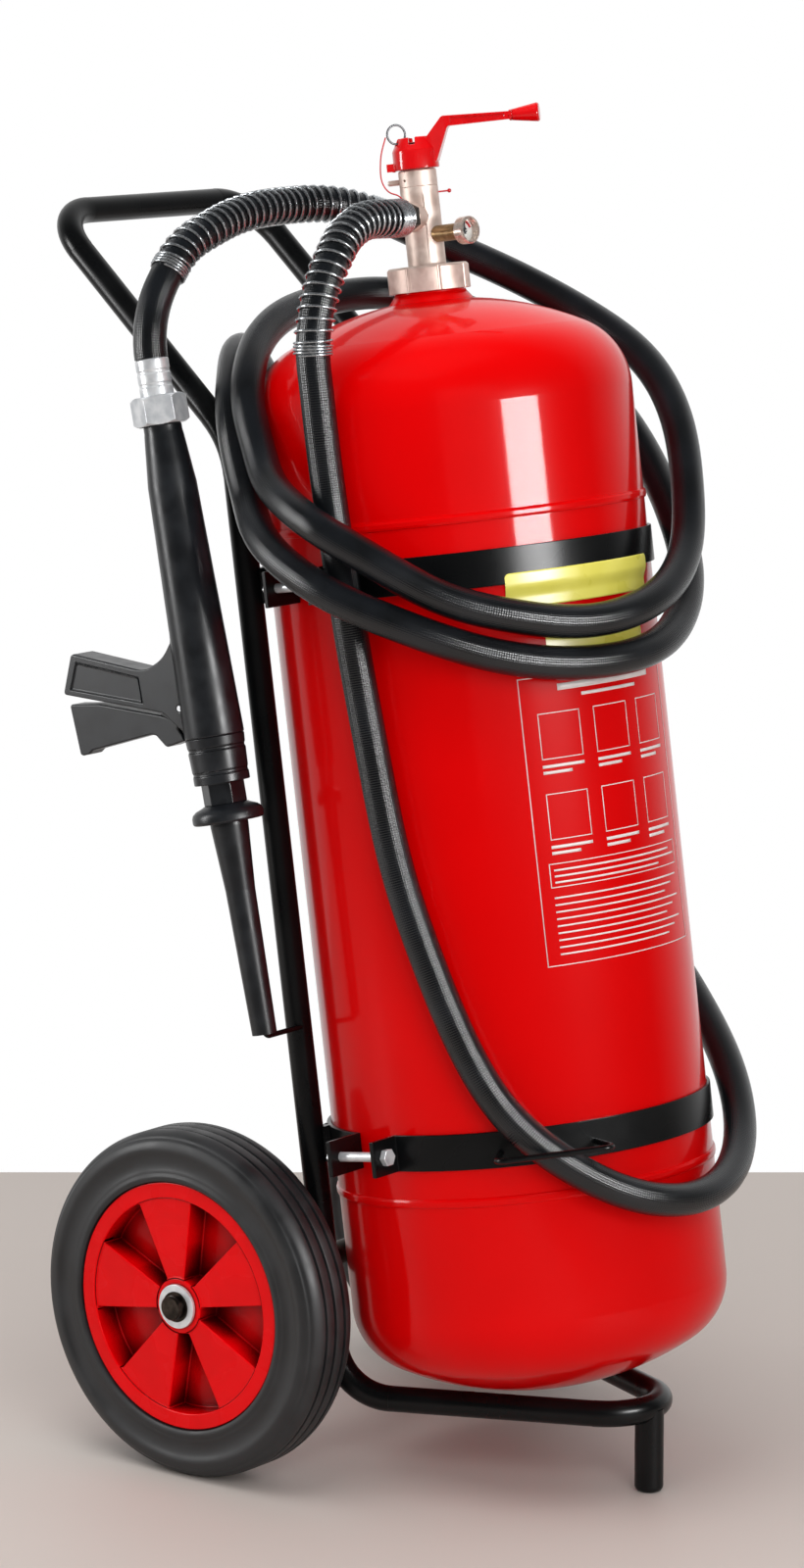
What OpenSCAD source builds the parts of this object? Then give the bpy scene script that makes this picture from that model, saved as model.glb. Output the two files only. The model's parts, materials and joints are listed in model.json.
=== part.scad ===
// Wheeled fire extinguisher on a tubular trolley, with its coiled hose and
// discharge gun. Millimetres. Z is up, the front is -Y, the floor is z = 0.
// The vessel, valve and straps are drawn upright in their own frame, then
// leaned back with in_lean(). The gun is drawn along its own axis, tip at 0.

/* [Vessel] */
// Outside diameter
tank_d = 320; // [312:1:324]
// Plate thickness
tank_wall = 2.5; // [2:0.1:3.5]
// Lowest point along the leaning axis
tank_bottom = 76; // [74:1:82]
// Top of the dome along the leaning axis
tank_top = 1002; // [1000:1:1006]
// Lean of the vessel and legs, degrees
lean = 8; // [7.5:0.1:8.5]

/* [Trolley] */
// Outside diameter of the frame tube
frame_tube_d = 22; // [20:0.5:24]
// Wall of the frame tube
frame_tube_wall = 1.6; // [1.2:0.1:2.5]
// Half the distance between the legs
leg_x = 131; // [128:1:134]
// Height of the handle bar's centre line
handle_z = 1059; // [1040:1:1080]
// Reach of the handle behind the axis origin
handle_y = 286; // [270:1:300]
// Tyre outside diameter
wheel_d = 300; // [290:1:310]
// Tyre width
wheel_w = 60; // [54:1:64]
// Axle diameter
axle_d = 21; // [18:0.5:22]

/* [Hose] */
// Hose outside diameter
hose_d = 28; // [25:0.5:28]
// Guard spring wire
spring_wire_d = 2.2; // [1.8:0.1:2.4]

/* [Straps] */
// Strap width
strap_w = 30; // [26:1:34]
// Strap plate
strap_t = 3; // [2.5:0.5:4]

/* [Fits] */
// Radial clearance of shafts and plugs in their holes
fit = 0.05; // [0.03:0.01:0.08]

/* [Hidden] */

$fn = 48;
black = [0.06, 0.06, 0.065];
red = [0.85, 0.02, 0.04];
nickel = [0.78, 0.74, 0.69];
steel = [0.72, 0.73, 0.75];
brass = [0.62, 0.47, 0.3];
rubber = [0.09, 0.09, 0.1];

// vessel
lean_y = -161;
tank_r = tank_d / 2;
knuckle_top = 64;
knuckle_bottom = 55;
crown = 270;
function head_depth(R, kn, cr) = cr - sqrt(pow(cr - kn, 2) - pow(R - kn, 2));
depth_top = head_depth(tank_r, knuckle_top, crown);
depth_bottom = head_depth(tank_r, knuckle_bottom, crown);
tangent_top = tank_top - depth_top;
tangent_bottom = tank_bottom + depth_bottom;
seam_top = tank_top - 184;
neck_r = 30;
thread_r = 28.5;
vz = tank_top + 20;         // top face of the neck, datum of the valve
cap_z = 88.3;               // underside of the lever cap above the datum
pin_r = 11.5;
pin_a = 150;
eye_z = 111.5;
ring_r = 8;
ring_wire_r = 0.9;
ring_turn = 28;
outlet_z = 49;
outlet_a = 188;
gauge_z = 33;
gauge_a = 264;

// trolley
tube_r = frame_tube_d / 2;
leg_reach = tank_r + 8.6 + tube_r;
leg_yl = sqrt(pow(leg_reach, 2) - pow(leg_x, 2));
leg_a = atan2(leg_yl, leg_x);
function lean_pt(x, y, h) = [x, lean_y + y * cos(lean) + h * sin(lean),
    h * cos(lean) - y * sin(lean)];
base_z = 72;
joint_h = 200;
knee_h = 902.6;
knee = lean_pt(leg_x, leg_yl, knee_h);
heel = lean_pt(leg_x, leg_yl, (base_z + leg_yl * sin(lean)) / cos(lean));
leg_joint = lean_pt(leg_x, leg_yl, joint_h);
apex_y = -322;
apex_r = 46;
apex_turn = 2 * atan2(heel[1] - apex_y, leg_x);
foot_y = apex_y + apex_r * (1 / cos(apex_turn / 2) - 1);
foot_r = 12.25;
axle_y = 81.5;
axle_z = wheel_d / 2;
axle_r = axle_d / 2;
axle_yl = (axle_y - lean_y) * cos(lean) - axle_z * sin(lean);
axle_h = (axle_y - lean_y) * sin(lean) + axle_z * cos(lean);
wheel_x = 189;
hub_in = 163;
hub_out = 215;
bracket_t = 5;

// straps, in the leaning frame
upper_h = 780;
lower_h = 306;
bead_gap = 24;               // from the lower seam up to the strap
seam_bottom = lower_h - strap_w / 2 - bead_gap;
rear_ear = 52;
front_ear = 6;
ear_t = 4;
ear_x = tank_r + 33;
bolt_x = tank_r + 19;
bolt_r = 4;

// gun
gun_at = [-leg_x - 53, round(leg_yl * cos(lean)) - 111, 390];  // beside the right leg
gun_tilt = 12;
trigger_hinge = [21.9, 279.2];
ferrule_top = 569;

// hose: [angle about the vessel, distance from its axis, height along it]
hose_r = hose_d / 2;
route = [
    [188, 33, 1071], [188, 62, 1071], [188, 98, 1070], [188, 116, 1065], [188, 133, 1057],
    [188, 148, 1045], [187, 160, 1030], [186, 169, 1013], [185, 176, 992], [184, 179, 968],
    [184, 180, 941], [184, 180, 911], [184, 179, 865], [186, 183, 785], [187, 180, 705],
    [189, 179, 625], [192, 179, 545], [198, 179, 465], [205, 179, 395], [214, 179, 338],
    [228, 180, 292], [245, 182, 258], [264, 182, 243], [283, 182, 249], [302, 184, 276],
    [320, 186, 322], [338, 190, 372], [355, 199, 425], [15, 206, 490], [33, 210, 570],
    [48, 210, 655], [60, 206, 745], [71, 199, 830], [83, 190, 905], [95, 180, 955],
    [109, 171, 977], [123, 169, 972], [134, 173, 953], [143, 181, 925], [148, 184, 890],
    [154, 187, 856], [165, 201, 826], [177, 211, 798], [188, 213, 773], [205, 202, 739],
    [221, 190, 714], [238, 184, 699], [255, 182, 694], [272, 184, 698], [288, 186, 715],
    [302, 189, 747], [315, 187, 790], [329, 185, 838], [343, 183, 888], [358, 177, 932],
    [15, 164, 970], [35, 148, 1000], [57, 131, 1013], [80, 122, 1013], [102, 125, 1007],
    [121, 134, 997], [134, 148, 982], [145, 163, 961], [153, 176, 931], [159, 181, 899],
    [166, 189, 871], [176, 202, 850], [186, 212, 829], [198, 205, 797], [213, 193, 761],
    [230, 186, 740], [247, 184, 729], [264, 186, 731], [280, 190, 746], [295, 194, 777],
    [308, 197, 828], [320, 200, 880], [334, 195, 932], [351, 180, 975], [9, 160, 1013],
    [28, 144, 1044], [38, 140, 1058], [48, 137, 1072], [59, 136, 1084],
    [70, 137, 1092], [81, 140, 1095], [94, 143, 1095], [108, 150, 1093], [118, 163, 1088],
    [127, 180, 1079], [132, 199, 1068], [135, 213, 1053], [137, 225, 1036], [138, 233, 1020],
    [139, 238, 1005]];
function global_to_lean(p) = [p[0],
    (p[1] - lean_y) * cos(lean) - p[2] * sin(lean),
    (p[1] - lean_y) * sin(lean) + p[2] * cos(lean)];
gun_axis = [0, sin(gun_tilt), cos(gun_tilt)];
hose_end = global_to_lean(gun_at + ferrule_top * gun_axis);
gun_axis_lean = [0, sin(gun_tilt - lean), cos(gun_tilt - lean)];
grow = tank_r - 160;
rise = tank_top - 1002;
hose_pts = concat([for (p = route) [(p[1] + (p[1] > 100 ? grow : 0)) * cos(p[0]),
    (p[1] + (p[1] > 100 ? grow : 0)) * sin(p[0]), p[2] + (p[1] < 100 ? rise : 0)]],
    [hose_end]);
hose_start_dir = [cos(outlet_a), sin(outlet_a), 0];

// ---------- helpers ----------
function unit(v) = v / norm(v);

module in_lean() translate([0, lean_y, 0]) rotate([-lean, 0, 0]) children();
module in_valve() in_lean() translate([0, 0, vz]) children();
module in_gun() translate(gun_at) rotate([-gun_tilt, 0, 0]) children();
// radial frame: z runs outward at angle a and height z
module radial(a, z) translate([0, 0, z]) rotate([0, 0, a]) rotate([0, 90, 0]) children();
module ring(ro, ri) difference() { circle(r = ro); circle(r = ri); }
module rod(h, r) cylinder(h = h, r = r);
module pipe(h, ro, ri) difference() {
    cylinder(h = h, r = ro);
    translate([0, 0, -1]) cylinder(h = h + 2, r = ri);
}
module section(ro, ri) { if (ri > 0) ring(ro, ri); else circle(r = ro); }
module hexagon(af) circle(d = af / cos(30), $fn = 6);

// a bent tube through the corners of a path, with a bend radius at each corner
module bent_tube(v, radii, ro, ri) {
    n = len(v);
    dirs = [for (i = [0:n - 2]) unit(v[i + 1] - v[i])];
    turns = [for (i = [1:n - 2]) acos(dirs[i - 1] * dirs[i])];
    cuts = [for (i = [0:n - 3]) radii[i] * tan(turns[i] / 2)];
    d = dirs[0];
    b = acos(d[2]);
    a = atan2(d[1], d[0]);
    translate(v[0]) rotate([0, b, a])
        tube_from(0, v, dirs, turns, cuts, radii, [cos(b) * cos(a), cos(b) * sin(a), -sin(b)],
            [-sin(a), cos(a), 0], ro, ri);
}
// one straight, its bend, and the rest of the tube beyond; x and y are the frame's axes.
// A bend swells a little, and the straights run a short way into it.
function swell(r) = max(0.03, 0.014 * r);
module tube_from(i, v, dirs, turns, cuts, radii, x, y, ro, ri) {
    n = len(v);
    length = norm(v[i + 1] - v[i]) - (i > 0 ? cuts[i - 1] : 0) - (i < n - 2 ? cuts[i] : 0);
    before = i > 0 ? sqrt(swell(ro) * radii[i - 1]) : 0;
    after = i < n - 2 ? sqrt(swell(ro) * radii[i]) : 0;
    translate([0, 0, -before]) linear_extrude(height = before + length + after)
        section(ro, ri);
    if (i < n - 2) {
        u = dirs[i];
        inward = unit(dirs[i + 1] - (dirs[i + 1] * u) * u);
        R = radii[i];
        translate([0, 0, length]) rotate([0, 0, atan2(inward * y, inward * x)]) {
            translate([R, 0, 0]) rotate([90, 0, 180]) rotate_extrude(angle = turns[i])
                translate([R, 0]) section(ro + swell(ro), ri > 0 ? ri - swell(ro) : 0);
            translate([R, 0, 0]) rotate([0, turns[i], 0]) translate([-R, 0, 0])
                tube_from(i + 1, v, dirs, turns, cuts, radii,
                    cos(turns[i]) * inward - sin(turns[i]) * u, cross(u, inward), ro, ri);
        }
    }
}

// ---------- vessel ----------
// plate of a dished head above its tangent line: crown, then a knuckle that swells a
// hair so that the crown's edge and the skirt can run a little way into it
module head_plate(kn, depth) {
    R = tank_r;
    w = tank_wall;
    phi = atan2(crown - depth, R - kn);
    edge = phi - 0.25;
    far = 1.3 * crown;
    translate([0, depth - crown]) intersection() {
        difference() {
            circle(r = crown, $fn = 96);
            circle(r = crown - w, $fn = 96);
        }
        polygon([[0, 0], far * [cos(edge), sin(edge)], [0, far]]);
    }
    translate([R - kn, 0]) intersection() {
        difference() {
            circle(r = kn + 0.02, $fn = 96);
            circle(r = kn - w - 0.02, $fn = 96);
        }
        polygon([[0, 0], [1.5 * kn, 0], 1.5 * kn * [cos(phi / 2), sin(phi / 2)],
            1.5 * kn * [cos(phi), sin(phi)]]);
    }
    translate([R - w, -1]) square([w, 2]);
}
module bead(z) translate([0, z])
    polygon([[tank_r - 0.5, 0], [tank_r + 1.2, 0.6], [tank_r + 1.8, 2.5], [tank_r + 1.8, 5.5],
        [tank_r + 1.2, 7.4], [tank_r - 0.5, 8]]);

module tank_shell() color(red) in_lean() translate([0, 0, seam_bottom])
    pipe(seam_top - seam_bottom, tank_r, tank_r - tank_wall);
module top_head() color(red) in_lean() difference() {
    rotate_extrude() {
        translate([0, tangent_top]) head_plate(knuckle_top, depth_top);
        translate([tank_r - tank_wall, seam_top]) square([tank_wall, tangent_top - seam_top]);
        bead(seam_top);
    }
    translate([0, 0, tank_top - 40]) cylinder(h = 60, r = neck_r + fit / 2);
}
module bottom_head() color(red) in_lean() rotate_extrude() {
    translate([0, tangent_bottom]) mirror([0, 1]) head_plate(knuckle_bottom, depth_bottom);
    translate([tank_r - tank_wall, tangent_bottom])
        square([tank_wall, seam_bottom - tangent_bottom]);
    bead(seam_bottom - 8);
}
module neck_ring() color(red) in_lean() difference() {
    union() {
        translate([0, 0, tank_top - 12]) cylinder(h = 18, r = neck_r);
        translate([0, 0, tank_top + 6]) cylinder(h = 14, r = thread_r);
        difference() {
            translate([0, 0, tank_top - 4]) cylinder(h = 9, r1 = 37, r2 = neck_r);
            translate([0, 0, tank_top - crown]) sphere(r = crown + fit / 2, $fn = 96);
        }
    }
    translate([0, 0, tank_top - 13]) cylinder(h = 40, r = 20);
    translate([0, 0, vz - 2]) pipe(3, 25.6, 23);
}
module dip_tube() color(steel) in_lean() difference() {
    translate([0, 0, 92]) cylinder(h = vz - 4 - 92, r = 11);
    translate([0, 0, 91]) cylinder(h = 1000, r = 9);
}
module dip_strainer() color(steel) in_lean() difference() {
    translate([0, 0, 84]) cylinder(h = 22, r = 12.5);
    translate([0, 0, 92]) cylinder(h = 20, r = 11 + fit);
    translate([0, 0, 86]) cylinder(h = 20, r = 9);
    for (a = [0:45:135]) translate([0, 0, 89]) rotate([0, 0, a]) cube([30, 3, 3], center = true);
}
module collar_nut() color(nickel) in_valve() difference() {
    rotate_extrude() polygon([[thread_r + fit, -13.5], [34.3, -13.5], [34.3, 6.2], [32.4, 8],
        [17, 8], [17, 4], [thread_r + fit, 4]]);
    for (a = [8:45:360]) rotate([0, 0, a]) translate([35.1, 0, -15]) cylinder(h = 30, r = 1.9);
}

// ---------- valve ----------
module valve_body() color(nickel) in_valve() difference() {
    union() {
        translate([0, 0, -18]) cylinder(h = 20, r = 20 - fit);
        cylinder(h = 4, r = 27);
        translate([0, 0, 2]) cylinder(h = 72, r = 16);
        radial(outlet_a, outlet_z) cylinder(h = 24, r = 12);
    }
    translate([0, 0, -19]) cylinder(h = 15, r = 11 + fit);
    translate([0, 0, -5]) cylinder(h = 43, r = 9);
    translate([0, 0, 37]) cylinder(h = 5, r = 7);
    translate([0, 0, 41]) cylinder(h = 22, r = 10);
    translate([0, 0, 62]) cylinder(h = 13, r = 12 + fit);
    radial(outlet_a, outlet_z) cylinder(h = 20, r = 7);
    radial(outlet_a, outlet_z) translate([0, 0, 16.5]) cylinder(h = 10, r = 8.5 + fit);
    radial(gauge_a, gauge_z) cylinder(h = 16, r = 2);
    radial(gauge_a, gauge_z) translate([0, 0, 10.5]) cylinder(h = 8, r = 5 + fit);
    radial(308, 68) translate([0, 0, 14.5]) cylinder(h = 4, r = 0.7 + fit);
}
module neck_o_ring() color(rubber) in_valve() translate([0, 0, -1])
    rotate_extrude() translate([24.3, 0]) circle(r = 1, $fn = 24);
module valve_bonnet() color(nickel) in_valve() difference() {
    union() {
        translate([0, 0, 62]) cylinder(h = 12, r = 12);
        translate([0, 0, 74]) cylinder(h = 13, r = 16);
        translate([0, 0, 87]) cylinder(h = 1, r1 = 16, r2 = 15);
    }
    translate([0, 0, 61]) cylinder(h = 28, r = 5 + fit);
    translate([0, 0, 66]) cylinder(h = 2.2, r = 7.15 + fit);
    // arc groove the safety pin's tip travels in, under the cap
    translate([0, 0, 81.5]) rotate([0, 0, pin_a]) rotate_extrude(angle = 90)
        translate([pin_r - 1.6, 0]) square([3.2, 8]);
    for (a = [pin_a, pin_a + 90]) rotate([0, 0, a]) translate([pin_r, 0, 81.5])
        cylinder(h = 8, r = 1.6, $fn = 24);
    radial(122, 79) translate([0, 0, 11]) cylinder(h = 6, r = 2.3 + fit, $fn = 24);
    radial(172, 79.5) translate([0, 0, 14.2]) cylinder(h = 3, r = 1, $fn = 16);
}
module spindle() color(steel) in_valve() {
    translate([0, 0, 50.3]) cylinder(h = 9, r = 4);
    translate([0, 0, 58.7]) cylinder(h = 3, r = 8);
    difference() {
        translate([0, 0, 61.5]) cylinder(h = 26.5, r = 5);
        translate([0, 0, 78]) cylinder(h = 11, r = 2, $fn = 24);
    }
    difference() {
        translate([-3.5, -3.5, 88]) cube([7, 7, 18]);
        translate([0, 0, 87]) cylinder(h = 20, r = 2, $fn = 24);
    }
}
module spindle_o_ring() color(rubber) in_valve() translate([0, 0, 67.1])
    rotate_extrude() translate([6.1, 0]) circle(r = 1.05, $fn = 24);
module valve_plug() color(brass) in_valve() difference() {
    union() {
        translate([0, 0, 44]) cylinder(h = 4, r = 9);
        translate([0, 0, 47]) cylinder(h = 7, r = 6.5);
    }
    translate([0, 0, 46]) cylinder(h = 9, r = 4 + fit);
}
module seat_washer() color(rubber) in_valve() translate([0, 0, 41.05])
    cylinder(h = 2.95, r = 8.5);

// ---------- lever, pin and seal ----------
lever_a = 300;
module lever_arm() rotate([0, 0, lever_a]) {
    intersection() {
        translate([0, 20, 0]) rotate([90, 0, 0]) linear_extrude(height = 40)
            polygon([[6, 96], [6, 111.8], [10, 112], [25, 129], [27, 130], [84, 127.4],
                [84, 120.8], [31, 121], [29.5, 119.5], [19, 94], [17, 92]]);
        translate([0, 0, 80]) linear_extrude(height = 60)
            polygon([[5, -9], [16, -9], [27, -6.2], [84, -4], [84, 4], [27, 6.2], [16, 9],
                [5, 9]]);
    }
    translate([82, 0, 124.2]) rotate([0, 90, 0]) {
        cylinder(h = 3, r = 4.6, $fn = 32);
        translate([0, 0, 3]) cylinder(h = 21, r1 = 4.8, r2 = 8.1, $fn = 32);
        translate([0, 0, 24]) cylinder(h = 1.5, r1 = 8.1, r2 = 7, $fn = 32);
    }
}
module release_lever() color(red) in_valve() difference() {
    union() {
        rotate_extrude() polygon([[0, cap_z], [18.6, cap_z], [19.2, cap_z + 0.8], [19.2, 104],
            [18.6, 105.4], [13.6, 114.6], [12.8, 115], [0, 115]]);
        rotate([0, 0, 128]) translate([17, -4, cap_z]) cube([8, 8, 6.6]);
        lever_arm();
    }
    translate([0, 0, 111]) cylinder(h = 5, r = 8.4);
    translate([0, 0, 107.5]) cylinder(h = 5, r = 5.2);
    translate([0, 0, 87]) cylinder(h = 22, r = 2.6, $fn = 24);
    translate([-3.5 - fit, -3.5 - fit, 87]) cube([7 + 2 * fit, 7 + 2 * fit, 19.2]);
    for (a = [pin_a - 180, pin_a - 120, pin_a - 60, pin_a, pin_a + 60]) rotate([0, 0, a])
        translate([8, -2.6, 109]) cube([12, 5.2, 8]);
    rotate([0, 0, pin_a]) translate([pin_r, 0, 87]) cylinder(h = 30, r = 1.4 + fit, $fn = 24);
    // recessed panels along the arm
    for (s = [-1, 1]) rotate([0, 0, lever_a]) intersection() {
        translate([0, 20, 0]) rotate([90, 0, 0]) linear_extrude(height = 40)
            polygon([[33, 123], [33, 127.8], [78, 125.7], [78, 122.7]]);
        translate([0, 0, 100]) linear_extrude(height = 40)
            polygon([[30, s * 5.1], [80, s * 3.2], [80, s * 12], [30, s * 12]]);
    }
}
module lever_screw() color(steel) in_valve() difference() {
    union() {
        translate([0, 0, 79]) cylinder(h = 29, r = 2 - fit, $fn = 24);
        translate([0, 0, 107.5]) cylinder(h = 3.4, r = 5);
    }
    translate([0, 0, 109]) linear_extrude(height = 4) hexagon(4);
}
module stop_peg() color(nickel) in_valve() radial(122, 79) translate([0, 0, 11]) {
    cylinder(h = 13.5, r = 2.3, $fn = 32);
    translate([0, 0, 13.5]) cylinder(h = 1, r1 = 2.3, r2 = 1.5, $fn = 32);
}
// the eye is turned so that the ring's wire runs straight through it
module in_eye() translate([0, 0, eye_z]) rotate([0, 90 + ring_turn, 0]) children();
module safety_pin() color(steel) in_valve() rotate([0, 0, pin_a]) translate([pin_r, 0, 0]) {
    translate([0, 0, 82.5]) cylinder(h = 27.5, r = 1.4, $fn = 24);
    difference() {
        union() {
            in_eye() cylinder(h = 2, r = 2.4, center = true, $fn = 32);
            translate([-1, -1, eye_z - 2.2]) cube([2, 2, 1]);
        }
        in_eye() cylinder(h = 6, r = ring_wire_r + 0.2, center = true, $fn = 24);
    }
}
module pin_ring() color(steel) in_valve() rotate([0, 0, pin_a])
    translate([pin_r + ring_r * sin(ring_turn), 0, eye_z + ring_r * cos(ring_turn)])
        rotate([90, 0, 0]) rotate_extrude() translate([ring_r, 0])
            circle(r = ring_wire_r, $fn = 16);
function vp(a, r, z) = [r * cos(a), r * sin(a), z];
tether = [vp(150, 24.9, 117), vp(151, 29, 108), vp(153, 33, 94), vp(158, 34.5, 80),
    vp(172, 32, 70), vp(184, 29, 66), vp(188, 28.5, 63.2)];
module pin_tether() color(red) in_valve()
    bent_tube(tether, [5, 5, 5, 5, 4], 0.6, 0, $fn = 16);
module seal_tag() color(red) in_valve() radial(308, 68) {
    translate([0, 0, 14.6]) cylinder(h = 9.4, r = 0.7, $fn = 16);
    translate([0, 0, 25]) sphere(r = 1.75, $fn = 24);
}

// ---------- gauge ----------
module gauge_stem() color(brass) in_valve() radial(gauge_a, gauge_z) difference() {
    union() {
        translate([0, 0, 11.5]) cylinder(h = 6, r = 5);
        difference() {
            translate([0, 0, 15.2]) cylinder(h = 27.8, r = 7);
            rotate([0, -90, 0]) cylinder(h = 60, r = 16 + fit, center = true, $fn = 64);
        }
    }
    translate([0, 0, 10]) cylinder(h = 22, r = 1.5, $fn = 24);
}
module gauge_case() color(nickel) in_valve() radial(gauge_a, gauge_z)
    translate([0, 0, 43]) difference() {
        rotate_extrude() polygon([[0, 0], [9.5, 0], [11.5, 2], [11.5, 10.2], [10.7, 11],
            [9.6, 11], [9.6, 10.2], [10.3, 10.2], [10.3, 2], [0, 2]]);
    }
module gauge_dial() color([0.95, 0.95, 0.95]) in_valve() radial(gauge_a, gauge_z)
    translate([0, 0, 45]) {
        cylinder(h = 0.6, r = 10.3 - fit);
        cylinder(h = 4, r = 0.7, $fn = 24);
    }
module gauge_needle() color(black) in_valve() radial(gauge_a, gauge_z)
    translate([0, 0, 46.6]) difference() {
        union() {
            cylinder(h = 1.2, r = 1.8, $fn = 24);
            linear_extrude(height = 0.6)
                polygon([[3.2, -0.7], [3.2, 0.7], [-8.2, 0.25], [-8.2, -0.25]]);
        }
        translate([0, 0, -1]) cylinder(h = 4, r = 0.7 + fit, $fn = 24);
    }
module gauge_lens() color([0.8, 0.9, 0.95, 0.4]) in_valve() radial(gauge_a, gauge_z)
    translate([0, 0, 52]) cylinder(h = 1.2, r = 10.3 - fit);

// ---------- hose ----------
module outlet_nipple() color([0.3, 0.27, 0.27]) in_valve() radial(outlet_a, outlet_z)
    difference() {
        union() {
            translate([0, 0, 16.5]) cylinder(h = 8, r = 8.5);
            translate([0, 0, 24]) rotate([0, 0, 0]) linear_extrude(height = 9) hexagon(24);
        }
        translate([0, 0, 15]) cylinder(h = 20, r = 5);
    }

// rings of a tube along points, carried without twist from a first normal
function tangents(p, first, last) = [for (i = [0:len(p) - 1])
    i == 0 ? first : i == len(p) - 1 ? last : unit(p[i + 1] - p[i - 1])];
function flat_to(n, t) = unit(n - (n * t) * t);
function carried(t, n0) = [for (i = 0, n = flat_to(n0, t[0]); i < len(t);
    i = i + 1, n = i < len(t) ? flat_to(n, t[i]) : n) n];
function ring_pts(p, t, n, r, sides) = [for (i = [0:len(p) - 1]) for (k = [0:sides - 1])
    p[i] + r * (cos(360 * k / sides) * n[i] + sin(360 * k / sides) * cross(t[i], n[i]))];
function tube_faces(m, sides) = concat(
    [[for (k = [sides - 1:-1:0]) k]],
    [for (i = [0:m - 2]) for (k = [0:sides - 1])
        each [[i * sides + k, i * sides + (k + 1) % sides, (i + 1) * sides + (k + 1) % sides],
            [i * sides + k, (i + 1) * sides + (k + 1) % sides, (i + 1) * sides + k]]],
    [[for (k = [0:sides - 1]) (m - 1) * sides + k]]);
module swept(p, t, n, r, sides)
    polyhedron(points = ring_pts(p, t, n, r, sides), faces = [for (f = tube_faces(len(p), sides))
        [for (j = [len(f) - 1:-1:0]) f[j]]], convexity = 20);

hose_t = tangents(hose_pts, hose_start_dir, -gun_axis_lean);
module hose() color(rubber) in_lean()
    swept(hose_pts, hose_t, carried(hose_t, [0, 0, 1]), hose_r, 10);

// a smooth curve through the hose points, by distance along their chords
chords = [for (i = [0:len(hose_pts) - 2]) norm(hose_pts[i + 1] - hose_pts[i])];
sums = [for (i = 0, s = 0; i <= len(chords); s = i < len(chords) ? s + chords[i] : s,
    i = i + 1) s];
function seg_of(s, i = 0) = i >= len(chords) - 1 || sums[i + 1] > s ? i : seg_of(s, i + 1);
function at_end(i) = i < 0 ? hose_pts[0] - chords[0] * hose_start_dir
    : i >= len(hose_pts) ? hose_end - 30 * gun_axis_lean : hose_pts[i];
function curve_in(i, u) = let (a = at_end(i - 1), b = at_end(i), c = at_end(i + 1),
        d = at_end(i + 2))
    0.5 * (2 * b + (c - a) * u + (2 * a - 5 * b + 4 * c - d) * u * u
        + (3 * b - a - 3 * c + d) * u * u * u);
function curve(s) = let (i = seg_of(s)) curve_in(i, (s - sums[i]) / chords[i]);
function curve_dir(s) = unit(curve(s + 0.5) - curve(s - 0.5));

// guard springs: close coils at both ends and an open middle
end_turns = 4;
end_pitch = 3.7;
spring_r = hose_r + 3.3;
per_turn = 8;
function travel(turn, turns, pitch) = turn < end_turns ? turn * end_pitch
    : turn < turns - end_turns ? end_turns * end_pitch + (turn - end_turns) * pitch
    : end_turns * end_pitch + (turns - 2 * end_turns) * pitch
        + (turn - turns + end_turns) * end_pitch;
function coil_point(s, a, ref) = let (t = curve_dir(s), n = unit(cross(t, ref)))
    curve(s) + spring_r * (cos(a) * n + sin(a) * cross(t, n));
function coil(s0, turns, pitch, ref) = [for (k = [0:turns * per_turn])
    coil_point(s0 + travel(k / per_turn, turns, pitch), 360 * k / per_turn, ref)];
function with_ends(p) = let (m = len(p), d = spring_wire_d)
    concat([p[0] - d * unit(p[1] - p[0])], p, [p[m - 1] + d * unit(p[m - 1] - p[m - 2])]);
function coil_gap(p) = min([for (i = [0:len(p) - 1 - per_turn - 2])
    for (j = [-2:2]) norm(p[i + per_turn + j] - p[i])]) - spring_wire_d;
outlet_turns = 33;
outlet_pitch = 8.4;
outlet_from = 2.5;
gun_turns = 30;
gun_pitch = 8.6;
gun_from = sums[len(chords)] - 337;
outlet_coil = coil(outlet_from, outlet_turns, outlet_pitch, [cos(98), sin(98), 0]);
gun_coil = coil(gun_from, gun_turns, gun_pitch, [0, 0, 1]);
module spring(c) {
    p = with_ends(c);
    m = len(p);
    t = tangents(p, unit(p[1] - p[0]), unit(p[m - 1] - p[m - 2]));
    swept(p, t, carried(t, [0.3, 0.2, 1]), spring_wire_d / 2, 6);
}
module outlet_guard_spring() color(steel) in_lean() spring(outlet_coil);
module gun_guard_spring() color(steel) in_lean() spring(gun_coil);
echo(outlet_spring_gap = coil_gap(outlet_coil), gun_spring_gap = coil_gap(gun_coil),
    hose_length = sums[len(chords)],
    outlet_spring_end = outlet_from + travel(outlet_turns, outlet_turns, outlet_pitch),
    gun_spring_span = [gun_from, gun_from + travel(gun_turns, gun_turns, gun_pitch)]);

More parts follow.
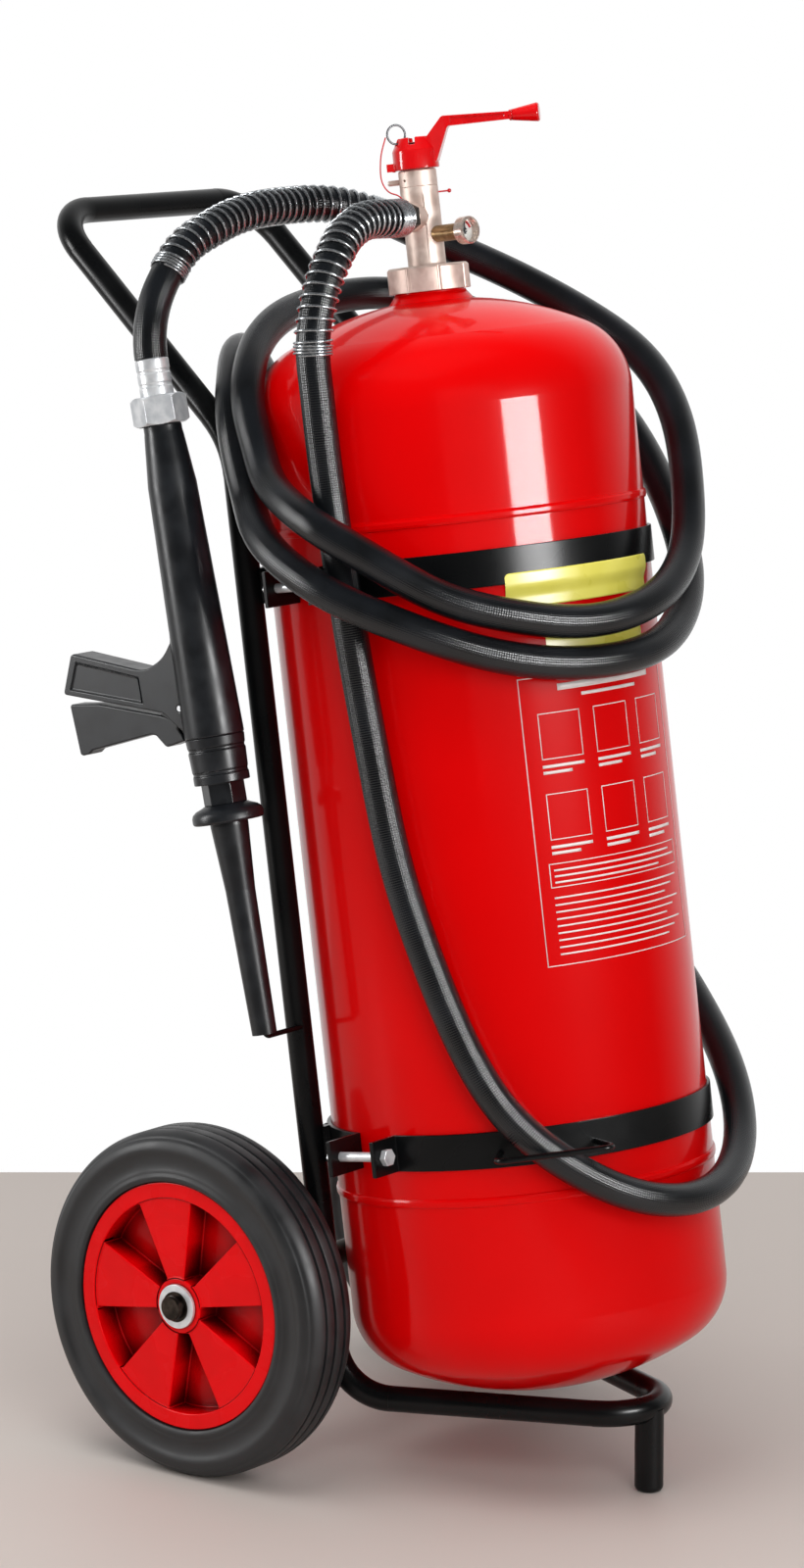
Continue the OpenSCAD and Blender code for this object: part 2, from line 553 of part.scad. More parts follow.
// ---------- gun ----------
module hose_ferrule() color(steel) in_gun() rotate_extrude()
    polygon([[9, 538], [14, 538], [14, 545], [13.5, 546], [13.5, 548], [14, 549], [14, 556],
        [13.5, 557], [13.5, 559], [14, 560], [14, 568], [13.2, 569], [9, 569]]);
module hose_nut() color(steel) in_gun() difference() {
    intersection() {
        translate([0, 0, 514]) rotate([0, 0, 10]) linear_extrude(height = 24) hexagon(41);
        rotate_extrude() polygon([[0, 514], [20.5, 514], [24, 516.5], [24, 535.5], [20.5, 538],
            [0, 538]]);
    }
    translate([0, 0, 513]) cylinder(h = 26, r = 9);
}
module side(w) rotate([90, 0, 90]) translate([0, 0, -w / 2]) linear_extrude(height = w)
    children();
module gun_body() color(black) in_gun() difference() {
    union() {
        rotate_extrude() polygon([[0, 252], [25, 252], [25, 256], [22.5, 373], [20.5, 464],
            [16.5, 505], [16, 508], [16, 514], [0, 514]]);
        side(26) polygon([[0, 347.3], [17.7, 347.3], [20.4, 335.2], [32, 322.6],
            [53.7, 314.3], [132.3, 338.6], [148.4, 305.2], [108.4, 294.8], [41, 277.2],
            [20.3, 256.7], [0, 256.7]]);
    }
    // hollow of the grip, open below and at its end
    side(20) polygon([[13, 292], [22, 300], [34, 312], [54, 310.8], [132, 334.9],
        [170, 346.6], [170, 240], [60, 240], [44, 260], [30, 255], [22, 255], [13, 268]]);
    side(13) polygon([[-4, 273.5], [-4, 288], [20, 289], [20, 270], [6, 273.5]]);
    for (s = [-1, 1]) translate([s * 16.2, 0, 0]) side(8)
        polygon([[62, 309.5], [128, 330], [139, 308.5], [62, 288.5]]);
    translate([0, 0, 272]) cylinder(h = 243, r = 8.5);
    translate([0, 0, 267]) cylinder(h = 6, r = 2 + fit, $fn = 24);
    for (a = [0:90:270]) rotate([0, 0, a + 45]) translate([5.6, 0, 267])
        cylinder(h = 6, r = 1.8, $fn = 24);
    translate([0, 0, 265]) cylinder(h = 3, r = 8.5);
    translate([0, 0, 261]) cylinder(h = 5, r = 5);
    translate([0, 0, 251]) cylinder(h = 11, r = 9.5);
    translate([0, trigger_hinge[0], trigger_hinge[1]]) rotate([0, 90, 0])
        cylinder(h = 60, r = 2.5 + fit, center = true, $fn = 24);
}
module gun_trigger() color(black) in_gun() difference() {
    union() {
        side(18) polygon([[147, 296.2], [113.9, 292.5], [47.5, 275.5], [35.6, 270.5],
            [31, 262], [28, 257.4], [26, 251.6], [47.2, 248.4], [56.5, 259.4], [61.7, 260.8],
            [129.7, 254.7], [134.4, 251.9], [144.2, 251.2]]);
        side(18) polygon([[48.5, 276.2], [30, 284.2], [22, 284.6], [17.5, 281.5],
            [17.5, 276.5], [28, 265.5], [32, 262], [36, 268]]);
        side(12) polygon([[2, 283.3], [22, 284.2], [22, 274.4], [2, 278.8]]);
        side(12) translate([2, 280.3]) circle(r = 3, $fn = 24);
    }
    translate([0, trigger_hinge[0], trigger_hinge[1]]) rotate([0, 90, 0])
        cylinder(h = 30, r = 2.5 + fit, center = true, $fn = 24);
}
module trigger_pin() color(steel) in_gun() translate([0, trigger_hinge[0], trigger_hinge[1]])
    rotate([0, 90, 0]) cylinder(h = 27, r = 2.5, center = true, $fn = 24);
module gun_valve_stem() color(steel) in_gun() {
    translate([0, 0, 275.7]) cylinder(h = 1.5, r = 4, $fn = 32);
    translate([0, 0, 260]) cylinder(h = 16, r = 2, $fn = 24);
    translate([0, 0, 258]) cylinder(h = 3.9, r = 7, $fn = 32);
}
module gun_collar() color(black) in_gun() difference() {
    union() {
        translate([0, 0, 195]) linear_extrude(height = 20) hexagon(32);
        rotate_extrude() polygon([[0, 213], [23.5, 213], [23.5, 220], [22.8, 221], [22.8, 223],
            [23.5, 224], [24.2, 240], [23.4, 241], [23.4, 243], [24.3, 244], [24.8, 252],
            [0, 252]]);
    }
    translate([0, 0, 194]) cylinder(h = 60, r = 9.5);
}
module gun_flange() color(black) in_gun() difference() {
    rotate_extrude() polygon([[0, 180], [28.5, 180], [30, 181.5], [30, 186], [29, 189],
        [26, 191.5], [20, 194], [18.6, 195], [0, 195]]);
    translate([0, 0, 179]) cylinder(h = 11.5, r = 12 + fit);
    translate([0, 0, 179]) cylinder(h = 20, r = 9.5);
}
module gun_nozzle() color(black) in_gun() difference() {
    union() {
        cylinder(h = 122, r1 = 10.5, r2 = 12.5);
        translate([0, 0, 122]) cylinder(h = 55, r1 = 12.5, r2 = 16);
        translate([0, 0, 177]) cylinder(h = 3, r = 16);
        translate([0, 0, 179]) cylinder(h = 11.5, r = 12);
    }
    translate([0, 0, -1]) cylinder(h = 200, r = 8.5);
}

// ---------- trolley ----------
module handle_tube() color(black) bent_tube([
    [-leg_joint[0], leg_joint[1], leg_joint[2]], [-knee[0], knee[1], knee[2]],
    [-leg_x, handle_y, handle_z], [leg_x, handle_y, handle_z], knee, leg_joint],
    [80, 45, 45, 80], tube_r, tube_r - frame_tube_wall);
module base_tube() color(black) difference() {
    bent_tube([[-leg_joint[0], leg_joint[1], leg_joint[2]], [-heel[0], heel[1], heel[2]],
        [0, apex_y, base_z], heel, leg_joint], [50, apex_r, 50], tube_r,
        tube_r - frame_tube_wall);
    translate([0, foot_y, base_z - tube_r - 1]) cylinder(h = 6, r = 2, $fn = 24);
}
module front_foot() color(black) difference() {
    translate([0, foot_y, 0]) rotate_extrude() {
        translate([foot_r - 5, 5]) circle(r = 5);
        square([foot_r - 5, 6]);
        translate([0, 5]) square([foot_r, base_z - 5]);
    }
    translate([0, foot_y, 6]) cylinder(h = base_z, r = foot_r - 2);
    translate([0, foot_y, -1]) cylinder(h = 10, r = 2, $fn = 24);
    // saddle for the bent tube, a hair larger
    translate([0, foot_y + apex_r, base_z]) rotate_extrude()
        translate([apex_r, 0]) circle(r = tube_r + swell(tube_r) + fit / 2);
}
function tangent_pt(c, q, p, s) = let (d = norm(p - c), a = atan2(p[1] - c[1], p[0] - c[0]),
    b = acos(q / d)) c + q * [cos(a + s * b), sin(a + s * b)];
module axle() color([0.14, 0.14, 0.15]) translate([0, axle_y, axle_z]) rotate([0, 90, 0])
    difference() {
        union() {
            cylinder(h = 2 * 225, r = axle_r, center = true);
            for (s = [-1, 1]) translate([0, 0, s * 225.5])
                cylinder(h = 1, r1 = axle_r - (s > 0 ? 0 : 1), r2 = axle_r - (s > 0 ? 1 : 0),
                    center = true);
        }
        for (s = [-1, 1]) translate([0, 0, s * (hub_out + 3.9)]) difference() {
            cylinder(h = 1.2, r = axle_r + 1, center = true);
            cylinder(h = 2, r = axle_r - 1, center = true);
        }
    }
module axle_bracket() in_lean() difference() {
    translate([leg_x - bracket_t / 2, 0, 0]) rotate([90, 0, 90])
        linear_extrude(height = bracket_t) {
            c = [axle_yl, axle_h];
            lo = [leg_yl + 8, axle_h - 45];
            hi = [leg_yl + 8, axle_h + 55];
            polygon([lo, tangent_pt(c, 19.8, lo, 1), c, tangent_pt(c, 19.8, hi, -1), hi]);
            translate(c) circle(r = 20);
        }
    translate([leg_x, leg_yl, 0]) cylinder(h = 400, r = tube_r + fit / 2);
    translate([0, axle_yl, axle_h]) rotate([0, 90, 0])
        cylinder(h = 300, r = axle_r + fit / 2);
}
module left_axle_bracket() color(black) axle_bracket();
module right_axle_bracket() color(black) mirror([1, 0, 0]) axle_bracket();
module on_axle(x) for (s = [0, 1]) mirror([s, 0, 0]) translate([x, axle_y, axle_z])
    rotate([0, 90, 0]) children();
module axle_spacers() color(steel) on_axle(leg_x + bracket_t / 2)
    pipe(hub_in - 0.3 - leg_x - bracket_t / 2, axle_r + 3, axle_r + fit);
module hub_washers() color(steel) on_axle(hub_out + 0.3) pipe(3, 19, axle_r + fit);
module axle_clips() color(black) on_axle(hub_out + 3.3)
    pipe(1.2, axle_r + 2.6, axle_r - 1 + fit);

module tyre_area() {
    half = wheel_w / 2;
    R = wheel_d / 2;
    difference() {
        union() {
            translate([100, -24]) square([8, 48]);
            translate([107, -half]) square([R - 16 - 107, wheel_w]);
            translate([120, 16 - half]) square([R - 120, wheel_w - 32]);
            for (s = [-1, 1]) translate([R - 16, s * (half - 16)]) circle(r = 16);
        }
        for (x = [-13, 0, 13]) translate([R - 4, x - 1.8]) square([6, 3.6]);
    }
}
module wheel_at() translate([wheel_x, axle_y, axle_z]) rotate([0, 90, 0]) children();
module tyre() wheel_at() rotate_extrude($fn = 96) tyre_area();
module rim() wheel_at() difference() {
    union() {
        rotate_extrude($fn = 96) polygon([[93, -27], [107, -27], [107, -24], [100, -24],
            [100, 24], [107, 24], [107, 27], [93, 27]]);
        translate([0, 0, hub_in - wheel_x]) cylinder(h = hub_out - hub_in, r = 24);
        cylinder(h = 4, r = 94);
        for (k = [0:4]) rotate([0, 0, 72 * k + spoke_a]) linear_extrude(height = 25)
            polygon([[0, -7], [18, -8], [94, -31], [94, 31], [18, 8], [0, 7]]);
    }
    translate([0, 0, -40]) cylinder(h = 80, r = axle_r + fit);
}
spoke_a = 170;
module left_tyre() color(rubber) tyre();
module right_tyre() color(rubber) mirror([1, 0, 0]) tyre();
module left_rim() color(red) rim();
module right_rim() color(red) mirror([1, 0, 0]) rim();

// ---------- straps, in the leaning frame ----------
module band(h, r_out) translate([0, 0, h - strap_w / 2])
    pipe(strap_w, r_out, tank_r + fit);
module slab(x0, x1, y0, y1, h) translate([x0, y0, h - strap_w / 2])
    cube([x1 - x0, y1 - y0, strap_w]);
module ears(y, h) for (s = [0, 1]) mirror([s, 0, 0]) difference() {
    slab(tank_r - 30, ear_x, y, y + ear_t, h);
    translate([0, 0, h - 40]) cylinder(h = 80, r = tank_r + fit);
    translate([bolt_x, y - 1, h]) rotate([-90, 0, 0]) cylinder(h = ear_t + 2,
        r = bolt_r + fit, $fn = 32);
}
module rear_bracket(h) in_lean() {
    intersection() {
        band(h, tank_r + ear_t);
        slab(-tank_r - 10, tank_r + 10, rear_ear, tank_r + 20, h);
    }
    ears(rear_ear, h);
    for (s = [0, 1]) mirror([s, 0, 0]) difference() {
        translate([0, 0, h]) rotate([0, 0, leg_a]) translate([tank_r + 2, -7, -strap_w / 2])
            cube([leg_reach - tank_r - 2, 14, strap_w]);
        translate([leg_x, leg_yl, h - 40]) cylinder(h = 80, r = tube_r + fit / 2);
    }
}
module front_strap(h) in_lean() {
    intersection() {
        band(h, tank_r + strap_t);
        slab(-tank_r - 10, tank_r + 10, -tank_r - 10, front_ear + ear_t, h);
    }
    ears(front_ear, h);
}
module upper_rear_bracket() color(black) rear_bracket(upper_h);
module lower_rear_bracket() color(black) rear_bracket(lower_h);
module upper_strap() color(black) front_strap(upper_h);
module lower_strap() color(black) front_strap(lower_h);
module at_bolts() in_lean() for (h = [upper_h, lower_h]) for (s = [0, 1])
    mirror([s, 0, 0]) translate([bolt_x, 0, h]) rotate([-90, 0, 0]) children();
module clamp_bolts() color(steel) at_bolts() {
    translate([0, 0, front_ear - 5.3]) linear_extrude(height = 5.3) hexagon(13);
    translate([0, 0, front_ear - 1]) cylinder(h = 60, r = bolt_r, $fn = 32);
}
module clamp_nuts() color(steel) at_bolts() difference() {
    translate([0, 0, rear_ear + ear_t]) linear_extrude(height = 6.5) hexagon(13);
    cylinder(h = 80, r = bolt_r + fit, $fn = 32);
}
hook_z = lower_h - 3;
hook_reach = tank_r + 46;
module hose_hook() color(black) in_lean() difference() {
    bent_tube([[(tank_r + 1) * cos(211), (tank_r + 1) * sin(211), hook_z],
        [hook_reach * cos(211), hook_reach * sin(211), hook_z],
        [hook_reach * cos(239), hook_reach * sin(239), hook_z],
        [(tank_r + 1) * cos(239), (tank_r + 1) * sin(239), hook_z]], [8, 8], 2.5, 0,
        $fn = 24);
    translate([0, 0, hook_z - 20]) cylinder(h = 40, r = tank_r + strap_t + fit / 2);
}
module nozzle_hook() color(black) difference() {
    low = gun_at - 2.35 * gun_axis;
    bent_tube([[-leg_x, low[1], low[2]], low, gun_at + 40 * gun_axis], [6], 2.25, 0,
        $fn = 24);
    in_lean() translate([-leg_x, leg_yl, 300]) cylinder(h = 200, r = tube_r + fit / 2);
}

tank_shell();
top_head();
bottom_head();
neck_ring();
dip_tube();
dip_strainer();
collar_nut();
valve_body();
neck_o_ring();
valve_bonnet();
spindle();
spindle_o_ring();
valve_plug();
seat_washer();
release_lever();
lever_screw();
stop_peg();
safety_pin();
pin_ring();
pin_tether();
seal_tag();
gauge_stem();
gauge_case();
gauge_dial();
gauge_needle();
gauge_lens();
outlet_nipple();
hose();
outlet_guard_spring();
gun_guard_spring();
hose_ferrule();
hose_nut();
gun_body();
gun_trigger();
trigger_pin();
gun_valve_stem();
gun_collar();
gun_flange();
gun_nozzle();
handle_tube();
base_tube();
front_foot();
axle();
left_axle_bracket();
right_axle_bracket();
axle_spacers();
hub_washers();
axle_clips();
left_rim();
right_rim();
left_tyre();
right_tyre();
upper_rear_bracket();
lower_rear_bracket();
upper_strap();
lower_strap();
clamp_bolts();
clamp_nuts();
hose_hook();
nozzle_hook();
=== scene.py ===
"""Looks of a wheeled fire extinguisher: camera, finishes, hose, guard springs, tether, tyres,
rounded edges, prints, dial marks, floor and light.

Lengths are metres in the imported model's frame: +Z up, the front toward -Y, the floor at z = 0.
"""
import json

import bmesh
import bpy
import numpy as np
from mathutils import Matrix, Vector


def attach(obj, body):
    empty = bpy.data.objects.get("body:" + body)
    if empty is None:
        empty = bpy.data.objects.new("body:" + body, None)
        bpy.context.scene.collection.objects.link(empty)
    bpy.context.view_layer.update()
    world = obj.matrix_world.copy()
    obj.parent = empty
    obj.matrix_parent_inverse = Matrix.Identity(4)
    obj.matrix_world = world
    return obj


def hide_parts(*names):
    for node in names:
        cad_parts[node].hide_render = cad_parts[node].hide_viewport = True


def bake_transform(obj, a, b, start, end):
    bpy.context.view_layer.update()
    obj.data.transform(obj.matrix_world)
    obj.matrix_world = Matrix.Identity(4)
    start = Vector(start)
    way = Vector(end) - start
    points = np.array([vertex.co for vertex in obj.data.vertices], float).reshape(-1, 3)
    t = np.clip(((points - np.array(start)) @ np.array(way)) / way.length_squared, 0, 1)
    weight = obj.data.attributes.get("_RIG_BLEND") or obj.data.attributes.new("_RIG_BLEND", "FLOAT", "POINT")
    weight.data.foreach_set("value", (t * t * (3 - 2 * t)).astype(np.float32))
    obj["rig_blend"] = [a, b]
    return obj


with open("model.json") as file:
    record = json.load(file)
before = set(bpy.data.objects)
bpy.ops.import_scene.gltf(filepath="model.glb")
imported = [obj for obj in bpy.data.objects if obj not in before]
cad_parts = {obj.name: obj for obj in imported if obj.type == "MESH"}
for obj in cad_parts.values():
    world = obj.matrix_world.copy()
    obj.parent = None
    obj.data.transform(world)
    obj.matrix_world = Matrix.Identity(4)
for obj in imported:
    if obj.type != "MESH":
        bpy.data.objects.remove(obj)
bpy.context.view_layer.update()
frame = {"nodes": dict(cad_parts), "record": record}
nodes = frame["nodes"]
scene = bpy.context.scene
scene.view_settings.view_transform = "Standard"

# ---------- camera ----------
camera = bpy.data.objects.new("camera", bpy.data.cameras.new("camera"))
scene.collection.objects.link(camera)
scene.camera = camera
camera.location = (-3.3281, -2.5838, 1.3155)
aim = Vector((0.07598, 0.06846, 0.55943))
camera.rotation_euler = (aim - camera.location).to_track_quat("-Z", "Y").to_euler()
camera.data.lens = 114.91  # mm
camera.data.sensor_width = 36  # mm, along the picture's longer side

# ---------- places ----------
LEAN, LEAN_AT = np.radians(8), (0, -0.161, 0)  # the vessel leans back about X
VALVE_H = 1.022  # top face of the neck, along the leaning axis
OUTLET_A = 188  # way that the hose leaves the valve, in degrees
GAUGE_A, GAUGE_H = 264, 0.033  # way that the gauge looks, and its height above the neck
GUN_TILT, GUN_AT = np.radians(12), (-0.184, 0.011, 0.390)  # tip of the discharge gun
GUN_TOP = 0.569  # end of the hose ferrule, along the gun
TANK_R = 0.160
AXLE_Y, AXLE_Z, WHEEL_X = 0.0815, 0.150, 0.189


def tilted(points, tilt, at):
    """Points of a frame that leans back by tilt and stands at the point at: turned about X, so
    that its upright axis goes back by the tilt's sine and up by its cosine, and then moved."""
    x, y, z = np.moveaxis(np.asarray(points, float), -1, 0)
    c, s = np.cos(tilt), np.sin(tilt)
    return np.stack([x, y * c + z * s, z * c - y * s], -1) + at


def leaned(points):
    """Points of the vessel's own upright frame, where they really are."""
    return tilted(points, LEAN, LEAN_AT)


def at_valve(points):
    """Points measured from the neck's top face, where they really are."""
    return leaned(np.asarray(points, float) + (0, 0, VALVE_H))


def polar(angle, radius, height):
    """Points by their angle in degrees about an upright axis, distance from it and height: x is
    the distance by the cosine, and y by the sine."""
    a = np.radians(angle)
    return np.stack(np.broadcast_arrays(radius * np.cos(a), radius * np.sin(a), height), -1)


def outward(points, angle, height):
    """Points drawn with x down, y across and z out, set on the valve at an angle and height: out
    is the direction of the angle, and across is square to it."""
    x, y, z = np.moveaxis(np.asarray(points, float), -1, 0)
    a = np.radians(angle)
    spot = np.stack([z * np.cos(a) - y * np.sin(a), z * np.sin(a) + y * np.cos(a), height - x], -1)
    return at_valve(spot)


# ---------- finishes ----------
def linear(colour):
    """An sRGB hex colour as linear red, green, blue and alpha."""
    c = np.array([int(colour[i:i + 2], 16) for i in (1, 3, 5)]) / 255
    c = np.where(c <= 0.04045, c / 12.92, ((c + 0.055) / 1.055) ** 2.4)
    return (*map(float, c), 1.0)


def add(tree, kind, inputs=None, **properties):
    """A shader node with its properties; an input that is a socket is linked, any other is set."""
    node = tree.nodes.new("ShaderNode" + kind)
    for key, value in properties.items():
        setattr(node, key, value)
    for key, value in (inputs or {}).items():
        if isinstance(value, bpy.types.NodeSocket):
            tree.links.new(value, node.inputs[key])
        else:
            node.inputs[key].default_value = value
    return node.outputs


finishes = {}
slots = {}
CLOUD_SPAN = {"From Min": 0.25, "From Max": 0.75}  # the part of a noise's range that it fills
LATHE_PITCH = 0.0007  # coarser than real lathe lines, so that they show
THREAD_PITCH, THREADS_ROUND = 0.004, 26  # along the hose, and round it
POCKET_REACH = 0.03  # how far off a wall the painted shade still darkens a surface


def finish(name, slot, dark, pale, rough, mottle, grain, depth, relief=None, painted_shade=None, **sockets):
    """A material whose colour drifts from dark to pale and whose roughness drifts from rough[0]
    to rough[1] in clouds mottle metres wide, over a relief of grain metres, depth metres deep.
    relief(tree, place) gives a height that replaces the grain, and painted_shade(tree, place,
    colour) darkens the colour with painted shade. The rest are the shader's own sockets."""
    made = bpy.data.materials.new(name)
    made.use_nodes = True
    tree = made.node_tree
    tree.nodes.clear()
    place = add(tree, "TexCoord")
    cloud = add(tree, "TexNoise", {"Vector": place["Object"], "Scale": 1 / mottle, "Detail": 2.0})
    drift = {"Value": cloud["Fac"], **CLOUD_SPAN}
    part = add(tree, "MapRange", drift, interpolation_type="SMOOTHERSTEP")
    tone = add(tree, "MixRGB", {"Fac": part["Result"], "Color1": linear(dark),
                                "Color2": linear(pale)})["Color"]
    gloss = add(tree, "MapRange", {**drift, "To Min": rough[0], "To Max": rough[1]},
                interpolation_type="SMOOTHERSTEP")
    if relief:
        height = relief(tree, place)
    else:
        height = add(tree, "TexNoise", {"Vector": place["Object"], "Scale": 1 / grain,
                                        "Detail": 3.0})["Fac"]
    # where a finish is given painted shade, it darkens the colour here
    if painted_shade:
        tone = painted_shade(tree, place, tone)
    bump = add(tree, "Bump", {"Height": height, "Strength": 1.0, "Distance": depth})
    inputs = {"Base Color": tone, "Roughness": gloss["Result"], "Normal": bump["Normal"]}
    shader = add(tree, "BsdfPrincipled", {**inputs, **{k.replace("_", " "): v
                                                       for k, v in sockets.items()}})
    if sockets.get("Coat_Weight"):
        tree.links.new(bump["Normal"], tree.nodes[-1].inputs["Coat Normal"])
    add(tree, "OutputMaterial", {"Surface": shader["BSDF"]})
    finishes[name], slots[name] = made, slot


def turned(tree, place):
    """Fine lathe lines square to the leaning valve axis: a sine of the distance along it."""
    along = add(tree, "VectorMath", {0: place["Object"], 1: (0, np.sin(LEAN), np.cos(LEAN))},
                operation="DOT_PRODUCT")
    phase = add(tree, "Math", {0: along["Value"], 1: 2 * np.pi / LATHE_PITCH},
                operation="MULTIPLY")
    return add(tree, "Math", {0: phase["Value"]}, operation="SINE")["Value"]


def painted_recess_shade(tree, place, colour):
    """Painted shade: the colour, darker down in pockets and along inner corners, where light hardly
    comes: mixed with a dark red by the share of the directions that a near wall blocks."""
    open_sky = add(tree, "AmbientOcclusion", {"Distance": POCKET_REACH}, samples=8)["AO"]
    lit = add(tree, "MapRange", {"Value": open_sky, "From Min": 0.35, "From Max": 0.85})["Result"]
    # the dark red is painted shade, mixed in where walls are near
    return add(tree, "MixRGB", {"Fac": lit, "Color1": linear("#3c0002"), "Color2": colour})["Color"]


def cloth_wrapped(tree, place):
    """Print of the cloth that the hose is cured in: two waves cross, each with a crest every 4 mm
    along the tube and 26 crests round it, from the UV map (metres along, share round), and their
    product is the height."""
    threads = []
    for way in (1, -1):
        rate = (2 * np.pi / THREAD_PITCH, way * 2 * np.pi * THREADS_ROUND, 0)
        phase = add(tree, "VectorMath", {0: place["UV"], 1: rate}, operation="DOT_PRODUCT")
        threads.append(add(tree, "Math", {0: phase["Value"]}, operation="SINE")["Value"])
    return add(tree, "Math", {0: threads[0], 1: threads[1]}, operation="MULTIPLY")["Value"]


# Stove enamel on steel: sprayed and baked, a deep red under clear gloss with faint orange peel.
finish("stove_enamel", "red_enamel", "#d60001", "#de0002", (0.3, 0.32), 0.15, 0.006, 0.000006,
       Specular_IOR_Level=0.03, Coat_Weight=0.6, Coat_Roughness=0.08, Coat_IOR=1.26)
# Powder coat on steel tube and plate: black, half gloss, with a fine pebbled skin.
finish("powder_coat", "black_paint", "#070809", "#0c0d0e", (0.26, 0.34), 0.05, 0.0014, 0.000012,
       Specular_IOR_Level=0.22)
# Gloss black enamel of the two straps.
finish("strap_enamel", "black_paint", "#08090a", "#0d0e0f", (0.26, 0.3), 0.05, 0.002, 0.000006,
       Specular_IOR_Level=0.2)
# Nickel-plated brass, turned: warm pale metal with lathe lines.
finish("turned_nickel", "nickel", "#c8b2a6", "#e2d0c5", (0.44, 0.52), 0.012, 0.001, 0.000008,
       relief=turned, Metallic=0.5)
# Nickel-plated brass, pressed: the same plate without lathe lines.
finish("pressed_nickel", "nickel", "#c6b4a8", "#ddcfc4", (0.22, 0.3), 0.006, 0.0008, 0.000002,
       Metallic=0.7)
# Plain brass, dulled by handling.
finish("plain_brass", "brass", "#8a6e4c", "#ab9069", (0.3, 0.42), 0.004, 0.0007, 0.000003,
       Metallic=0.8)
# Zinc-plated steel: bright, bluish, slightly clouded.
finish("zinc_plate", "steel", "#ced2d6", "#e8eaec", (0.28, 0.38), 0.01, 0.0015, 0.000002,
       Metallic=0.5)
# Spring-steel wire of the pin's ring: dull grey.
finish("dull_wire", "steel", "#5c5d60", "#77787b", (0.35, 0.45), 0.006, 0.0008, 0.000001,
       Metallic=0.8)
# Galvanised spring wire: drawn, then dipped; grey, bright where it catches a lamp.
finish("galvanised_wire", "spring_steel", "#a4a8ac", "#c3c7ca", (0.2, 0.3), 0.004, 0.0006,
       0.000001, Metallic=0.9)
# Black-oxide steel: dark brown-black, dull.
finish("black_oxide", "dark_steel", "#2a2622", "#453d37", (0.35, 0.5), 0.006, 0.0008, 0.000008,
       Metallic=1.0)
# Hose cover: black synthetic rubber cured in cloth, half gloss with a woven print, which is drawn
# coarser and deeper than a real one so that it shows.
finish("hose_rubber", "black_rubber", "#0d0f11", "#13161a", (0.2, 0.26), 0.04, 0.001, 0.0001,
       relief=cloth_wrapped, Specular_IOR_Level=0.5)
# Moulded nitrile rubber of the O-rings and seat.
finish("seal_rubber", "black_rubber", "#0c0c0d", "#131315", (0.45, 0.6), 0.01, 0.0006, 0.000005)
# Solid rubber tyre: dark grey, moulded, half matt with a dusty drift.
finish("tyre_rubber", "tyre", "#17181a", "#222325", (0.42, 0.58), 0.03, 0.0016, 0.00003)
# Injection-moulded polypropylene wheel centre: gloss red, with painted shade darkening its pockets.
finish("moulded_red", "red_plastic", "#e40005", "#ee0008", (0.22, 0.3), 0.04, 0.003, 0.000006,
       painted_shade=painted_recess_shade, Specular_IOR_Level=0.12)
# Nylon tether and seal: translucent red.
finish("nylon_red", "red_plastic", "#c4101c", "#d41622", (0.3, 0.4), 0.005, 0.0008, 0.000004,
       Subsurface_Weight=0.1, Subsurface_Radius=(0.002, 0.0005, 0.0005))
# Glass-filled nylon of the gun: charcoal, fine spark-eroded grain.
finish("grained_nylon", "black_plastic", "#131518", "#1b1e22", (0.3, 0.4), 0.02, 0.0011, 0.00002,
       Specular_IOR_Level=0.4)
# Black acetal of the gauge needle.
finish("needle_black", "black_plastic", "#101012", "#161618", (0.35, 0.45), 0.01, 0.0008, 0.000002)
# White enamelled dial plate.
finish("dial_white", "white_plastic", "#ecebe6", "#f5f4f0", (0.35, 0.45), 0.01, 0.001, 0.000002)
# Clear acrylic gauge window.
finish("clear_acrylic", "lens", "#ffffff", "#ffffff", (0.01, 0.02), 0.01, 0.004, 0.000001,
       Transmission_Weight=1.0, IOR=1.49)
# Gloss paint on the cast aluminium lever.
finish("lever_paint", "lever_red", "#d00007", "#da0209", (0.3, 0.36), 0.02, 0.0018, 0.000012,
       Specular_IOR_Level=0.1, Coat_Weight=0.9, Coat_Roughness=0.06, Coat_IOR=1.45)
# Printed and laminated vinyl, and the inks of the prints and the dial.
finish("yellow_vinyl", "red_enamel", "#f2e75f", "#faf06e", (0.25, 0.35), 0.03, 0.004, 0.000006)
finish("black_ink", "white_plastic", "#1b1a18", "#232220", (0.4, 0.5), 0.01, 0.001, 0.000002)
finish("white_ink", "red_enamel", "#e9dcda", "#f2e8e6", (0.35, 0.45), 0.02, 0.002, 0.000002)
finish("green_ink", "white_plastic", "#1d8a3f", "#259448", (0.35, 0.45), 0.01, 0.001, 0.000002)
finish("red_ink", "white_plastic", "#c0121c", "#cc1a24", (0.35, 0.45), 0.01, 0.001, 0.000002)

SLOT_FINISH = {
    "red_enamel": "stove_enamel", "black_paint": "powder_coat", "nickel": "turned_nickel",
    "steel": "zinc_plate", "dark_steel": "black_oxide", "spring_steel": "galvanised_wire",
    "brass": "plain_brass", "black_rubber": "seal_rubber", "tyre": "tyre_rubber",
    "red_plastic": "moulded_red", "black_plastic": "grained_nylon", "white_plastic": "dial_white",
    "lens": "clear_acrylic", "lever_red": "lever_paint"}
NODE_FINISH = {
    "gauge_case": "pressed_nickel", "pin_tether": "nylon_red", "seal_tag": "nylon_red",
    "gauge_needle": "needle_black", "pin_ring": "dull_wire", "upper_strap": "strap_enamel",
    "lower_strap": "strap_enamel"}
body_of = {}
finish_of = {}
for body, members in frame["record"]["behaviour"]["bodies"].items():
    body_of.update(dict.fromkeys(members, body))
for part in frame["record"]["subparts"]:
    finish_of[part["node"]] = NODE_FINISH.get(part["node"], SLOT_FINISH[part["material_slot"]])
    for held in nodes[part["node"]].material_slots:
        held.material = finishes[finish_of[part["node"]]]


# ---------- making pieces ----------
SHARP = 32  # degrees between two faces, past which their edge stays sharp
PER_CUBIC = 40  # points worked out on each cubic of a curve


